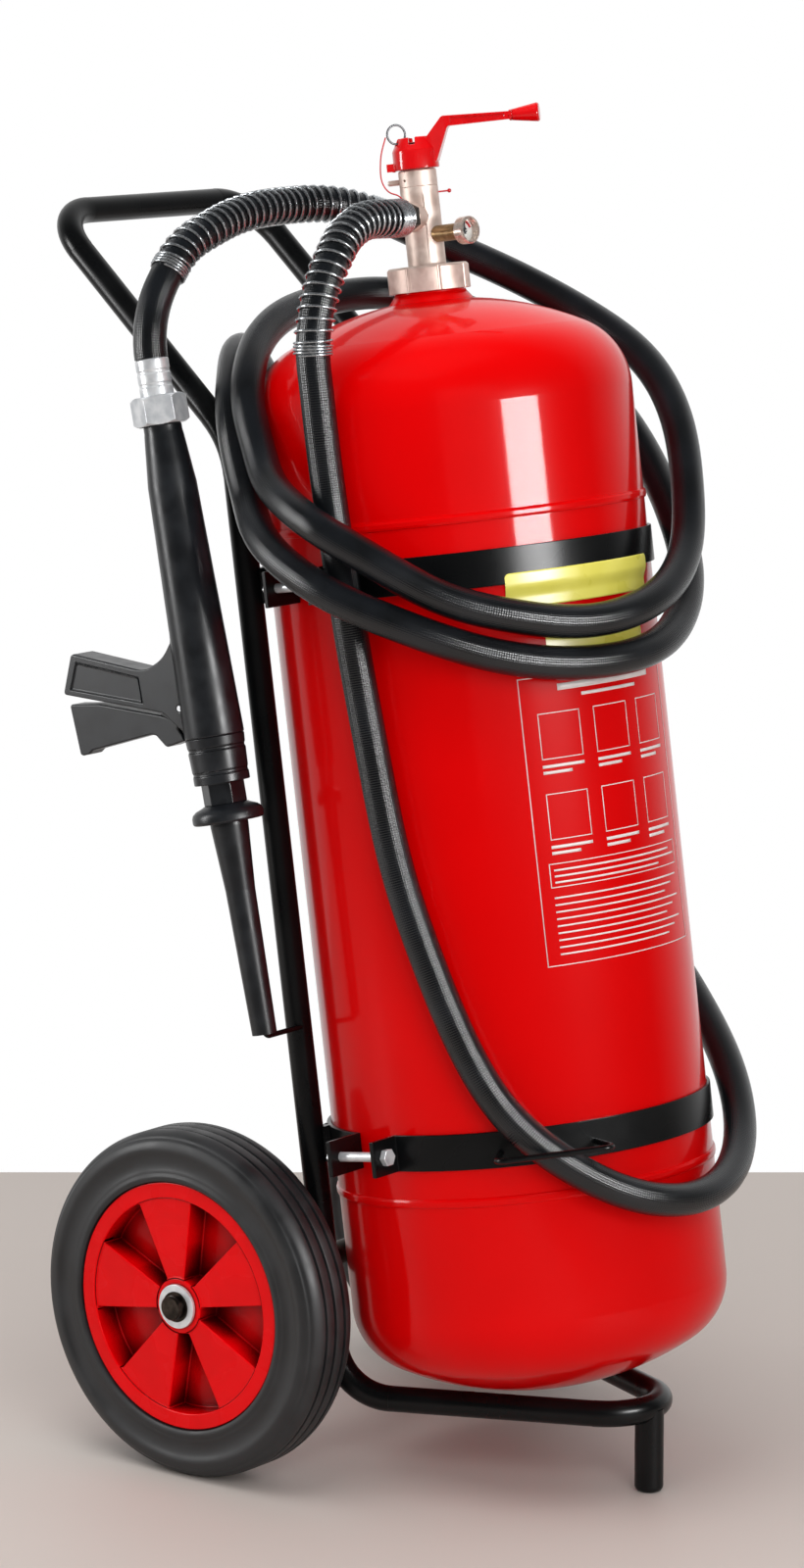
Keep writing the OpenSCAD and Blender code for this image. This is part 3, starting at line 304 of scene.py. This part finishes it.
def piece(name, mesh, look, body, sharp=SHARP):
    """An object of that mesh, smooth but for edges sharper than sharp degrees, on its body."""
    made = bpy.data.objects.new(name, mesh)
    scene.collection.objects.link(made)
    mesh.materials.clear()
    mesh.materials.append(finishes[look])
    mesh.shade_smooth()
    mesh.set_sharp_from_angle(angle=np.radians(sharp))
    if body:
        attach(made, body)
    return made


def grid(name, sheets, across_shut=False, along_shut=False, capped=False, along=None):
    """A mesh over arrays points[row, column]: quads join neighbours, and the last column or row
    joins the first where it is shut. A capped tube gets flat ends. The UV map holds the length
    along the rows, in metres if along gives it, and the share across the columns."""
    points, faces, corners = [], [], []
    start = 0
    for sheet in sheets:
        rows, columns = sheet.shape[:2]
        r, c = np.meshgrid(np.arange(rows - (not along_shut)),
                           np.arange(columns - (not across_shut)), indexing="ij")
        row = np.stack([r, r, r + 1, r + 1], -1).reshape(-1, 4)
        column = np.stack([c, c + 1, c + 1, c], -1).reshape(-1, 4)
        faces += (start + row % rows * columns + column % columns).tolist()
        length = np.arange(rows + 1) / rows if along is None else along
        corners.append(np.stack([length[row], column / columns], -1).reshape(-1, 2))
        if capped:
            faces += [[*range(start + columns - 1, start - 1, -1)],
                      [*range(start + (rows - 1) * columns, start + rows * columns)]]
            corners.append(np.zeros((2 * columns, 2)))
        points.append(sheet.reshape(-1, 3))
        start += rows * columns
    mesh = bpy.data.meshes.new(name)
    mesh.from_pydata(np.concatenate(points).tolist(), [], faces)
    mesh.uv_layers.new(name="UVMap").data.foreach_set("uv", np.concatenate(corners).ravel())
    return mesh


def tidied(mesh):
    """The mesh with its doubled points merged, so that poles close, and its faces outward."""
    made = bmesh.new()
    made.from_mesh(mesh)
    bmesh.ops.remove_doubles(made, verts=made.verts, dist=1e-6)
    bmesh.ops.recalc_face_normals(made, faces=made.faces)
    made.to_mesh(mesh)
    made.free()
    return mesh


def unit(vectors):
    """Vectors at length one."""
    return vectors / np.linalg.norm(vectors, axis=-1, keepdims=True)


def spline(points, first, last, step):
    """A smooth curve through the points: cubics whose curvature runs on from one to the next, off
    along first and in along last. Its points come back step metres apart."""
    p = np.asarray(points, float)
    h = np.linalg.norm(np.diff(p, axis=0), axis=1)
    slope = np.diff(p, axis=0) / h[:, None]
    band = np.zeros((len(p), len(p)))
    right = np.zeros_like(p)
    band[0, 0] = band[-1, -1] = 1
    right[0], right[-1] = first, last
    i = np.arange(1, len(p) - 1)
    band[i, i - 1], band[i, i], band[i, i + 1] = h[1:], 2 * (h[:-1] + h[1:]), h[:-1]
    right[i] = 3 * (h[1:, None] * slope[:-1] + h[:-1, None] * slope[1:])
    pull = np.linalg.solve(band, right)
    u = np.linspace(0, 1, PER_CUBIC, endpoint=False)[:, None, None]
    fine = ((2 * u ** 3 - 3 * u ** 2 + 1) * p[:-1] + (3 * u ** 2 - 2 * u ** 3) * p[1:]
            + h[:, None] * ((u ** 3 - 2 * u ** 2 + u) * pull[:-1] + (u ** 3 - u ** 2) * pull[1:]))
    fine = np.concatenate([fine.transpose(1, 0, 2).reshape(-1, 3), p[-1:]])
    run = lengths(fine)
    even = np.linspace(0, run[-1], int(round(run[-1] / step)) + 1)
    return at_lengths(even, run, fine)


def lengths(path):
    """Distance along a path at each of its points."""
    return np.concatenate([[0], np.cumsum(np.linalg.norm(np.diff(path, axis=0), axis=1))])


def at_lengths(where, run, values):
    """Values that go with the lengths run, read off at other lengths."""
    return np.stack([np.interp(where, run, values[:, k]) for k in range(3)], -1)


def frames(path, first=(0.02, 0.3, 1)):
    """Two directions square to a path at each point: one is that of the point before, made square
    to the path again, so that a tube along it doesn't twist, and the other is square to both. The
    direction first, which lies along no path here, starts it off."""
    ahead = unit(np.gradient(path, axis=0))
    side = np.empty_like(ahead)
    last = np.asarray(first, float)
    for i, t in enumerate(ahead):
        last = unit(last - last @ t * t)
        side[i] = last
    return side, np.cross(ahead, side)


def tube(name, path, radius, sides, look, body):
    """A round tube: rings of radius about each point of the path, square to it, with flat ends."""
    side, other = frames(path)
    a = np.linspace(0, 2 * np.pi, sides, endpoint=False)[None, :, None]
    rings = path[:, None] + radius * (np.cos(a) * side[:, None] + np.sin(a) * other[:, None])
    mesh = grid(name, [rings], across_shut=True, capped=True, along=lengths(path))
    return piece(name, mesh, look, body, sharp=60)


def arc(centre, radius, start, stop, count):
    """Points on a circle about centre, from one angle to another in degrees."""
    a = np.radians(np.linspace(start, stop, count))
    return np.stack([centre[0] + radius * np.cos(a), centre[1] + radius * np.sin(a)], -1)


# ---------- hose and guard springs ----------
HOSE_D, HOSE_SIDES, HOSE_STEP = 0.028, 24, 0.006
# angle in degrees about the vessel, distance from its axis, height along it
HOSE_ROUTE = [
    (188, 0.033, 1.071), (188, 0.062, 1.071), (188, 0.098, 1.070), (188, 0.116, 1.065),
    (188, 0.133, 1.057), (188, 0.148, 1.045), (187, 0.160, 1.030), (186, 0.169, 1.013),
    (185, 0.176, 0.992), (184, 0.179, 0.968), (184, 0.180, 0.941), (184, 0.180, 0.911),
    (184, 0.179, 0.865), (186, 0.183, 0.785), (187, 0.180, 0.705), (189, 0.179, 0.625),
    (192, 0.179, 0.545), (198, 0.179, 0.465), (205, 0.179, 0.395), (214, 0.179, 0.338),
    (228, 0.180, 0.292), (245, 0.182, 0.258), (264, 0.182, 0.243), (283, 0.182, 0.249),
    (302, 0.184, 0.276), (320, 0.186, 0.322), (338, 0.190, 0.372), (355, 0.199, 0.425),
    (15, 0.206, 0.490), (33, 0.210, 0.570), (48, 0.210, 0.655), (60, 0.206, 0.745),
    (71, 0.199, 0.830), (83, 0.190, 0.905), (95, 0.180, 0.955), (109, 0.171, 0.977),
    (123, 0.169, 0.972), (134, 0.173, 0.953), (143, 0.181, 0.925), (148, 0.184, 0.890),
    (154, 0.187, 0.856), (165, 0.201, 0.826), (177, 0.211, 0.798), (188, 0.213, 0.773),
    (205, 0.202, 0.739), (221, 0.190, 0.714), (238, 0.184, 0.699), (255, 0.182, 0.694),
    (272, 0.184, 0.698), (288, 0.186, 0.715), (302, 0.189, 0.747), (315, 0.187, 0.790),
    (329, 0.185, 0.838), (343, 0.183, 0.888), (358, 0.177, 0.932), (15, 0.164, 0.970),
    (35, 0.148, 1.000), (57, 0.131, 1.013), (80, 0.122, 1.013), (102, 0.125, 1.007),
    (121, 0.134, 0.997), (134, 0.148, 0.982), (145, 0.163, 0.961), (153, 0.176, 0.931),
    (159, 0.181, 0.899), (166, 0.189, 0.871), (176, 0.202, 0.850), (186, 0.212, 0.829),
    (198, 0.205, 0.797), (213, 0.193, 0.761), (230, 0.186, 0.740), (247, 0.184, 0.729),
    (264, 0.186, 0.731), (280, 0.190, 0.746), (295, 0.194, 0.777), (308, 0.197, 0.828),
    (320, 0.200, 0.880), (334, 0.195, 0.932), (351, 0.180, 0.975), (9, 0.160, 1.013),
    (28, 0.144, 1.044), (38, 0.140, 1.058), (48, 0.137, 1.072), (59, 0.136, 1.084),
    (70, 0.137, 1.092), (81, 0.140, 1.095), (94, 0.143, 1.095), (108, 0.150, 1.093),
    (118, 0.163, 1.088), (127, 0.180, 1.079), (132, 0.199, 1.068), (135, 0.213, 1.053),
    (137, 0.225, 1.036), (138, 0.233, 1.020), (139, 0.238, 1.005),
]
GUN_AXIS = np.array([0, np.sin(GUN_TILT), np.cos(GUN_TILT)])
angle, reach, height = np.array(HOSE_ROUTE).T
HOSE_OUT = leaned(polar(OUTLET_A, 1.0, 0.0)) - leaned((0, 0, 0))
hose_path = spline([*leaned(polar(angle, reach, height)), GUN_AT + GUN_TOP * GUN_AXIS],
                   HOSE_OUT, -GUN_AXIS, HOSE_STEP)
hose_run = lengths(hose_path)
hose = tube("hose_cover", hose_path, HOSE_D / 2, HOSE_SIDES, "hose_rubber", "trolley")
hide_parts("hose")

WIRE_R, WIRE_SIDES = 0.0011, 8
COIL_R, STEPS_A_TURN = 0.0153, 16  # from the hose's line to the wire's, and points on a turn
CLOSE_TURNS, CLOSE_PITCH = 4, 0.0025  # the turns that nearly touch


def guard_spring(name, node, start, span, turns, first=CLOSE_TURNS):
    """A wire wound on the hose from start over span: its centre goes round the hose's line once a
    turn, while it moves along by a close pitch in the first and last turns and a wide one
    between them."""
    turn = np.arange(turns * STEPS_A_TURN + 1) / STEPS_A_TURN
    s = start + np.interp(turn, [0, first, turns - CLOSE_TURNS, turns],
                          [0, first * CLOSE_PITCH, span - CLOSE_TURNS * CLOSE_PITCH, span])
    side, other = frames(hose_path)
    a = 2 * np.pi * turn[:, None]
    wire = (at_lengths(s, hose_run, hose_path) + COIL_R * np.cos(a) * at_lengths(s, hose_run, side)
            + COIL_R * np.sin(a) * at_lengths(s, hose_run, other))
    made = tube(name, wire, WIRE_R, WIRE_SIDES, "galvanised_wire", "trolley")
    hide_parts(node)
    return made


springs = [guard_spring("outlet_spring", "outlet_guard_spring",
                        start=0.0025, span=0.2076, turns=32, first=8),
           guard_spring("gun_spring", "gun_guard_spring",
                        start=hose_run[-1] - 0.337, span=0.261, turns=35)]

# ---------- tether of the safety pin ----------
TETHER_R, TETHER_SIDES = 0.0006, 10
# angle in degrees about the valve, distance from its axis, height above the neck
tether_path = spline(at_valve(polar(*np.array([
    (188, 0.0285, 0.0632), (184, 0.029, 0.066), (172, 0.032, 0.070), (158, 0.0345, 0.080),
    (153, 0.033, 0.094), (151, 0.029, 0.108), (150, 0.0249, 0.117)]).T)),
    first=(0, 0, 0), last=(0, 0, 0), step=0.0008)
half = len(tether_path) // 2
TETHER_HALVES = {"tether_low": (tether_path[:half + 1], "trolley", "lever"),
                 "tether_high": (tether_path[half:], "lever", "safety_pin")}
for name, (path, low, high) in TETHER_HALVES.items():
    made = tube(name, path, TETHER_R, TETHER_SIDES, "nylon_red", None)
    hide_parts("pin_tether")
    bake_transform(made, low, high, start=path[0], end=path[-1])


# ---------- tyres ----------
TYRE_STEPS = 144  # sections round a tyre


def tyre_outline():
    """Half of a tyre's section as (offset across, radius), bead to middle: a bead ring, a side
    dished by a flattened sine, a circle for the shoulder with one fine line sunk in it as a bell
    curve, and a flat tread with a groove and half of another."""
    side = [(0.024, 0.1003), (0.024, 0.1075), (0.0285, 0.1077), (0.0296, 0.1092),
            (0.0298, 0.1125), (0.0288, 0.1142)]
    dish = np.stack([0.0298 - 0.0022 * np.sin(np.linspace(0.35, np.pi, 9)) ** 0.8,
                     np.linspace(0.1155, 0.133, 9)], -1)
    middle, sweep = (0.014, 0.134), (4, 86, 22)
    shoulder = arc(middle, 0.016, *sweep)
    line = 0.0007 * np.exp(-((np.linspace(*sweep) - 40) / 5) ** 2)[:, None]
    shoulder -= line * unit(shoulder - middle)
    groove = [(0.0136, 0.1499), (0.0132, 0.1482), (0.0128, 0.1462), (0.0112, 0.1462),
              (0.0108, 0.1482), (0.0104, 0.1499), (0.0098, 0.15), (0.0022, 0.15),
              (0.0016, 0.1498), (0.0012, 0.1482), (0.0009, 0.1462), (0.0, 0.1461)]
    return np.concatenate([side, dish, shoulder, groove])


def tyre(name, node, centre_x):
    """A tyre: its outline, mirrored, carried round the axle."""
    half = tyre_outline()
    outline = np.concatenate([half, half[-2::-1] * (-1, 1)])
    a = np.linspace(0, 2 * np.pi, TYRE_STEPS, endpoint=False)
    x, r = outline[:, 0, None], outline[:, 1, None]
    points = np.stack(np.broadcast_arrays(centre_x + x, AXLE_Y + r * np.sin(a),
                                          AXLE_Z + r * np.cos(a)), -1)
    mesh = tidied(grid(name, [points], across_shut=True, along_shut=True))
    made = piece(name, mesh, "tyre_rubber", body_of[node], sharp=50)
    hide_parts(node)


tyre("left_tyre_tread", "left_tyre", WHEEL_X)
tyre("right_tyre_tread", "right_tyre", -WHEEL_X)


# ---------- rounded edges of cast, moulded and pressed pieces ----------
# corners of the grip and trigger seen from the side: distance from the gun's axis, place along it
# and how far back from the corner its rounding starts
GUN_CORNERS = {
    "gun_body": [(0.1323, 0.3386, 0.0034), (0.1484, 0.3052, 0.003), (0.0537, 0.3143, 0.008),
                 (0.032, 0.3226, 0.007)],
    "gun_trigger": [(0.147, 0.2962, 0.003), (0.1442, 0.2512, 0.003), (0.0472, 0.2484, 0.002)]}
CORNER_SEGMENTS, EDGE_SEGMENTS = 6, 2
NEAR = 0.0005  # how close an edge's ends lie to a corner's line


def rounded(node, width):
    """A CAD node's copy with its triangles joined into whole faces, its corners in GUN_CORNERS
    rounded, and then all its sharp edges, to width."""
    mesh = nodes[node].data.copy()
    for layer in [a.name for a in mesh.attributes if a.name == "custom_normal"]:
        mesh.attributes.remove(mesh.attributes[layer])
    made = bmesh.new()
    made.from_mesh(mesh)
    bmesh.ops.remove_doubles(made, verts=made.verts, dist=2e-6)
    bmesh.ops.dissolve_limit(made, angle_limit=np.radians(1), verts=made.verts, edges=made.edges)
    for y, along, setback in GUN_CORNERS.get(node, ()):
        spot = tilted((0, y, along), GUN_TILT, GUN_AT)
        edges = [edge for edge in made.edges
                 if all(np.hypot(*(np.array(v.co)[1:] - spot[1:])) < NEAR for v in edge.verts)]
        bmesh.ops.bevel(made, geom=edges, offset=setback, offset_type="OFFSET",
                        segments=CORNER_SEGMENTS, profile=0.5, affect="EDGES", clamp_overlap=True)
    made.to_mesh(mesh)
    made.free()
    rounder = piece(node + "_rounded", mesh, finish_of[node], body_of[node])
    bevel = rounder.modifiers.new("edges", "BEVEL")
    bevel.width, bevel.segments = width, EDGE_SEGMENTS
    bevel.limit_method, bevel.angle_limit = "ANGLE", np.radians(SHARP)
    bevel.harden_normals = True
    bevel.use_clamp_overlap = False
    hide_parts(node)
    return rounder


# width of the rounding, and the nodes that get it
ROUNDED = {
    0.0005: ["release_lever", "collar_nut", "valve_bonnet", "valve_body", "outlet_nipple",
             "hose_nut", "clamp_bolts", "clamp_nuts", "hub_washers", "upper_strap",
             "lower_strap"],
    0.0008: ["gun_collar", "gun_flange", "upper_rear_bracket", "lower_rear_bracket",
             "left_axle_bracket", "right_axle_bracket"],
    0.0014: ["gun_body", "gun_trigger", "left_rim", "right_rim"]}
copies = {member: rounded(member, width) for width, members in ROUNDED.items()
          for member in members}


# ---------- prints and stickers on the vessel ----------
SKIN = 0.00012  # how far a print stands off the enamel
INK, DIAL_INK, VINYL = 0.00008, 0.00005, 0.00015  # thicknesses
STRAP_FOOT, CLIMB, STRAP_STAND = 0.7525, 0.012, 0.0031  # the strap's lower edge, and the step up
CORNER_COLUMNS, COLUMNS, ROWS = 9, 40, 25  # of a sticker's sheet
BAR_STEP = 0.004  # longest side of a bar's quads, so that it follows the vessel


def thick(name, mesh, look, body, thickness=INK):
    """A print or sticker: an open sheet given a thickness outward."""
    made = piece(name, mesh, look, body)
    wall = made.modifiers.new("thickness", "SOLIDIFY")
    wall.thickness, wall.offset = thickness, 1


def round_sheet(x0, y0, x1, y1, corner, height_at):
    """A round-cornered rectangle laid on the vessel, x round it and y up it in metres: columns run
    straight up, and the outer ones are shortened to the corner's circle."""
    turn = corner * (1 - np.cos(np.linspace(0, np.pi / 2, CORNER_COLUMNS)))
    x = np.unique(np.concatenate([x0 + turn, x1 - turn,
                                  np.linspace(x0 + corner, x1 - corner, COLUMNS)]))
    inset = np.clip(np.maximum(x0 + corner - x, x - x1 + corner), 0, corner)
    cut = corner - np.sqrt(np.maximum(corner ** 2 - inset ** 2, 1e-12))
    v = np.linspace(0, 1, ROWS)[:, None]
    y = (y0 + cut) * (1 - v) + (y1 - cut) * v
    x = np.broadcast_to(x, y.shape)
    return leaned(polar(np.degrees(x / TANK_R), height_at(y), y))


def bars(rectangles, height):
    """Rectangles laid on the vessel, each x0, y0, x1, y1 in metres, as one list of sheets."""
    sheets = []
    for x0, y0, x1, y1 in rectangles:
        columns = max(2, int((x1 - x0) / BAR_STEP) + 2)
        x, y = np.meshgrid(np.linspace(x0, x1, columns), np.linspace(y0, y1, 2))
        sheets.append(leaned(polar(np.degrees(x / TANK_R), height, y)))
    return sheets


def outline_of(x0, y0, x1, y1, line):
    """The four thin sides of a rectangle."""
    return [(x0, y0, x1, y0 + line), (x0, y1 - line, x1, y1),
            (x0, y0 + line, x0 + line, y1 - line), (x1 - line, y0 + line, x1, y1 - line)]


def over_strap(y):
    """Distance from the vessel's axis of a sticker whose top part lies on the upper strap: up to
    the strap by a smooth step, three times the square of the climb less twice its cube."""
    climb = np.clip((y - STRAP_FOOT) / CLIMB, 0, 1)
    return TANK_R + SKIN + STRAP_STAND * climb * climb * (3 - 2 * climb)


def on_tank(y):
    """Distance from the vessel's axis of a sticker that lies on the enamel."""
    return TANK_R + SKIN + 0 * y


DEGREE = np.radians(1) * TANK_R  # length round the vessel for one degree
sticker = round_sheet(230 * DEGREE, 0.7443, 287.5 * DEGREE, 0.7735, 0.004, over_strap)
thick("yellow_sticker", grid("yellow_sticker", [sticker]), "yellow_vinyl", "trolley", VINYL)
lower_sticker = round_sheet(240.8 * DEGREE, 0.697, 280.7 * DEGREE, 0.7265, 0.004, on_tank)
thick("lower_sticker", grid("lower_sticker", [lower_sticker]), "yellow_vinyl", "trolley", VINYL)

# Instruction panel: a thin white frame, empty picture squares and plain bars for lines of words.
PANEL = (230.6 * DEGREE, 0.450, 292 * DEGREE, 0.687)
LINE = 0.0008
SQUARE, ACROSS_STEP, DOWN_STEP = 0.038, 0.052, 0.066  # a picture's side, and from one to the next


def panel_bars():
    """Rectangles of the panel: a heading, two rows of framed squares with bars under them, a
    framed note and a block of fine lines."""
    left, low, right, top = PANEL
    made = outline_of(*PANEL, LINE)
    made += [(left + 0.034, top - 0.013, right - 0.03, top - 0.0075),
             (left + 0.056, top - 0.0195, right - 0.052, top - 0.0168)]
    for row in range(2):
        for column in range(3):
            x, y = left + 0.014 + ACROSS_STEP * column, top - 0.068 - DOWN_STEP * row
            made += outline_of(x, y, x + SQUARE, y + SQUARE, LINE)
            made += [(x, y - 0.007, x + SQUARE, y - 0.0045),
                     (x, y - 0.012, x + 0.026, y - 0.0095)]
    note = (left + 0.01, top - 0.173, right - 0.01, top - 0.153)
    made += outline_of(*note, LINE)
    made += [(note[0] + 0.004, note[1] + y, note[2] - 0.004 - cut, note[1] + y + 0.0016)
             for y, cut in ((0.0035, 0.03), (0.0085, 0.0), (0.0135, 0.01))]
    made += [(left + 0.012, top - 0.182 - 0.0058 * k, right - 0.014 - 0.012 * (k % 3),
              top - 0.1806 - 0.0058 * k) for k in range(9)]
    return made


thick("panel_print", grid("panel_print", bars(panel_bars(), TANK_R + SKIN)), "white_ink",
      "trolley")


# ---------- dial marks ----------
DIAL_FACE = 0.04562  # out from the valve's axis
RED_GREEN_R, TICK_R = (0.0064, 0.0088), (0.0090, 0.0099)  # inner and outer


def dial_band(start, stop, inner, outer, count):
    """Part of a ring on the dial, between two angles in degrees from straight up."""
    a, r = np.meshgrid(np.radians(np.linspace(start, stop, count)), [inner, outer])
    return outward(np.stack([-r * np.cos(a), r * np.sin(a), DIAL_FACE + 0 * a], -1),
                   GAUGE_A, GAUGE_H)


for name, look, spans in (("dial_red", "red_ink", ((-75, -22), (22, 75))),
                          ("dial_green", "green_ink", ((-20, 20),))):
    thick(name, grid(name, [dial_band(*span, *RED_GREEN_R, 16) for span in spans]), look,
          "trolley", DIAL_INK)
thick("dial_ticks", grid("dial_ticks", [dial_band(a - 1.2, a + 1.2, *TICK_R, 2)
                                        for a in range(-75, 76, 25)]), "black_ink",
      "trolley", DIAL_INK)

# ---------- floor, backdrop and lamps ----------
AHEAD = np.array([0.7889, 0.6145, 0.0])  # level direction the camera looks in
ACROSS = np.array([0.6145, -0.7889, 0.0])  # level direction to the camera's right
FLOOR_FRONT, FLOOR_EDGE, FLOOR_SIDE = -5, 0.92, 6  # the edge is behind the object


def floor():
    """A level sheet from well in front of the object to its straight edge behind it."""
    a, b = np.meshgrid(np.linspace(FLOOR_FRONT, FLOOR_EDGE, 2),
                       np.linspace(-FLOOR_SIDE, FLOOR_SIDE, 2), indexing="ij")
    mesh = grid("floor", [a[..., None] * AHEAD + b[..., None] * ACROSS])
    made = bpy.data.objects.new("floor", mesh)
    scene.collection.objects.link(made)
    paint = bpy.data.materials.new("floor_paint")
    paint.use_nodes = True
    tree = paint.node_tree
    tree.nodes.clear()
    place = add(tree, "TexCoord")
    drift = add(tree, "TexNoise", {"Vector": place["Object"], "Scale": 3.0, "Detail": 3.0})
    tone = add(tree, "MixRGB", {"Fac": drift["Fac"], "Color1": linear("#cbc1ba"),
                                "Color2": linear("#d0c6bf")})
    shader = add(tree, "BsdfPrincipled", {"Base Color": tone["Color"], "Roughness": 0.6})
    add(tree, "OutputMaterial", {"Surface": shader["BSDF"]})
    mesh.materials.append(paint)


def backdrop(fill, front):
    """The world: white to the camera, and to gloss and glass where they look past the object; a
    dark studio where they look back; a soft even fill to everything matt."""
    world = bpy.data.worlds.new("studio")
    scene.world = world
    world.use_nodes = True
    tree = world.node_tree
    tree.nodes.clear()
    ray = add(tree, "LightPath")
    place = add(tree, "TexCoord")
    ahead = add(tree, "VectorMath", {0: place["Generated"], 1: tuple(AHEAD)},
                operation="DOT_PRODUCT")
    behind = add(tree, "MapRange", {"Value": ahead["Value"], "From Min": 0.1, "From Max": 0.7,
                                    "To Min": front, "To Max": 1.0})
    shiny = add(tree, "Math", {0: ray["Is Glossy Ray"], 1: ray["Is Transmission Ray"]},
                operation="MAXIMUM")
    matt = add(tree, "Mix", {"Factor": shiny["Value"], "A": fill, "B": behind["Result"]})
    seen = add(tree, "Mix", {"Factor": ray["Is Camera Ray"], "A": matt["Result"], "B": 1.0})
    sky = add(tree, "Background", {"Color": (1, 1, 1, 1), "Strength": seen["Result"]})
    add(tree, "OutputWorld", {"Surface": sky["Background"]})


def lamp(name, place, target, width, height, power, mirrored):
    """A soft box of that size, turned to its target: one that is mirrored is seen in gloss alone,
    and any other lights alone."""
    light = bpy.data.lights.new(name, "AREA")
    light.shape, light.size, light.size_y, light.energy = "RECTANGLE", width, height, power
    made = bpy.data.objects.new(name, light)
    scene.collection.objects.link(made)
    made.location = place
    made.rotation_euler = (Vector(target) - Vector(place)).to_track_quat("-Z", "Y").to_euler()
    made.visible_glossy, made.visible_diffuse = mirrored, not mirrored


def studio(ahead, across, height):
    """A point by its distance past the object, to the camera's right of it and above the floor."""
    return (*(ahead * AHEAD + across * ACROSS)[:2], height)


floor()
backdrop(fill=0.5, front=0.06)
lamp("overhead", studio(-0.5, -0.5, 2.9), (0, 0, 0.4), width=2.2, height=2.2, power=38,
     mirrored=False)
lamp("front", studio(-3.2, 0.8, 1.6), (0, 0, 0.6), width=2.0, height=2.0, power=50,
     mirrored=False)
lamp("right_box", (-0.3, -2.5, 1.13), (0, -0.05, 0.9), width=1.0, height=0.3, power=76,
     mirrored=True)
lamp("left_box", (-1.8, 1.7, 1.15), (0, 0, 0.7), width=0.5, height=1.3, power=40, mirrored=True)
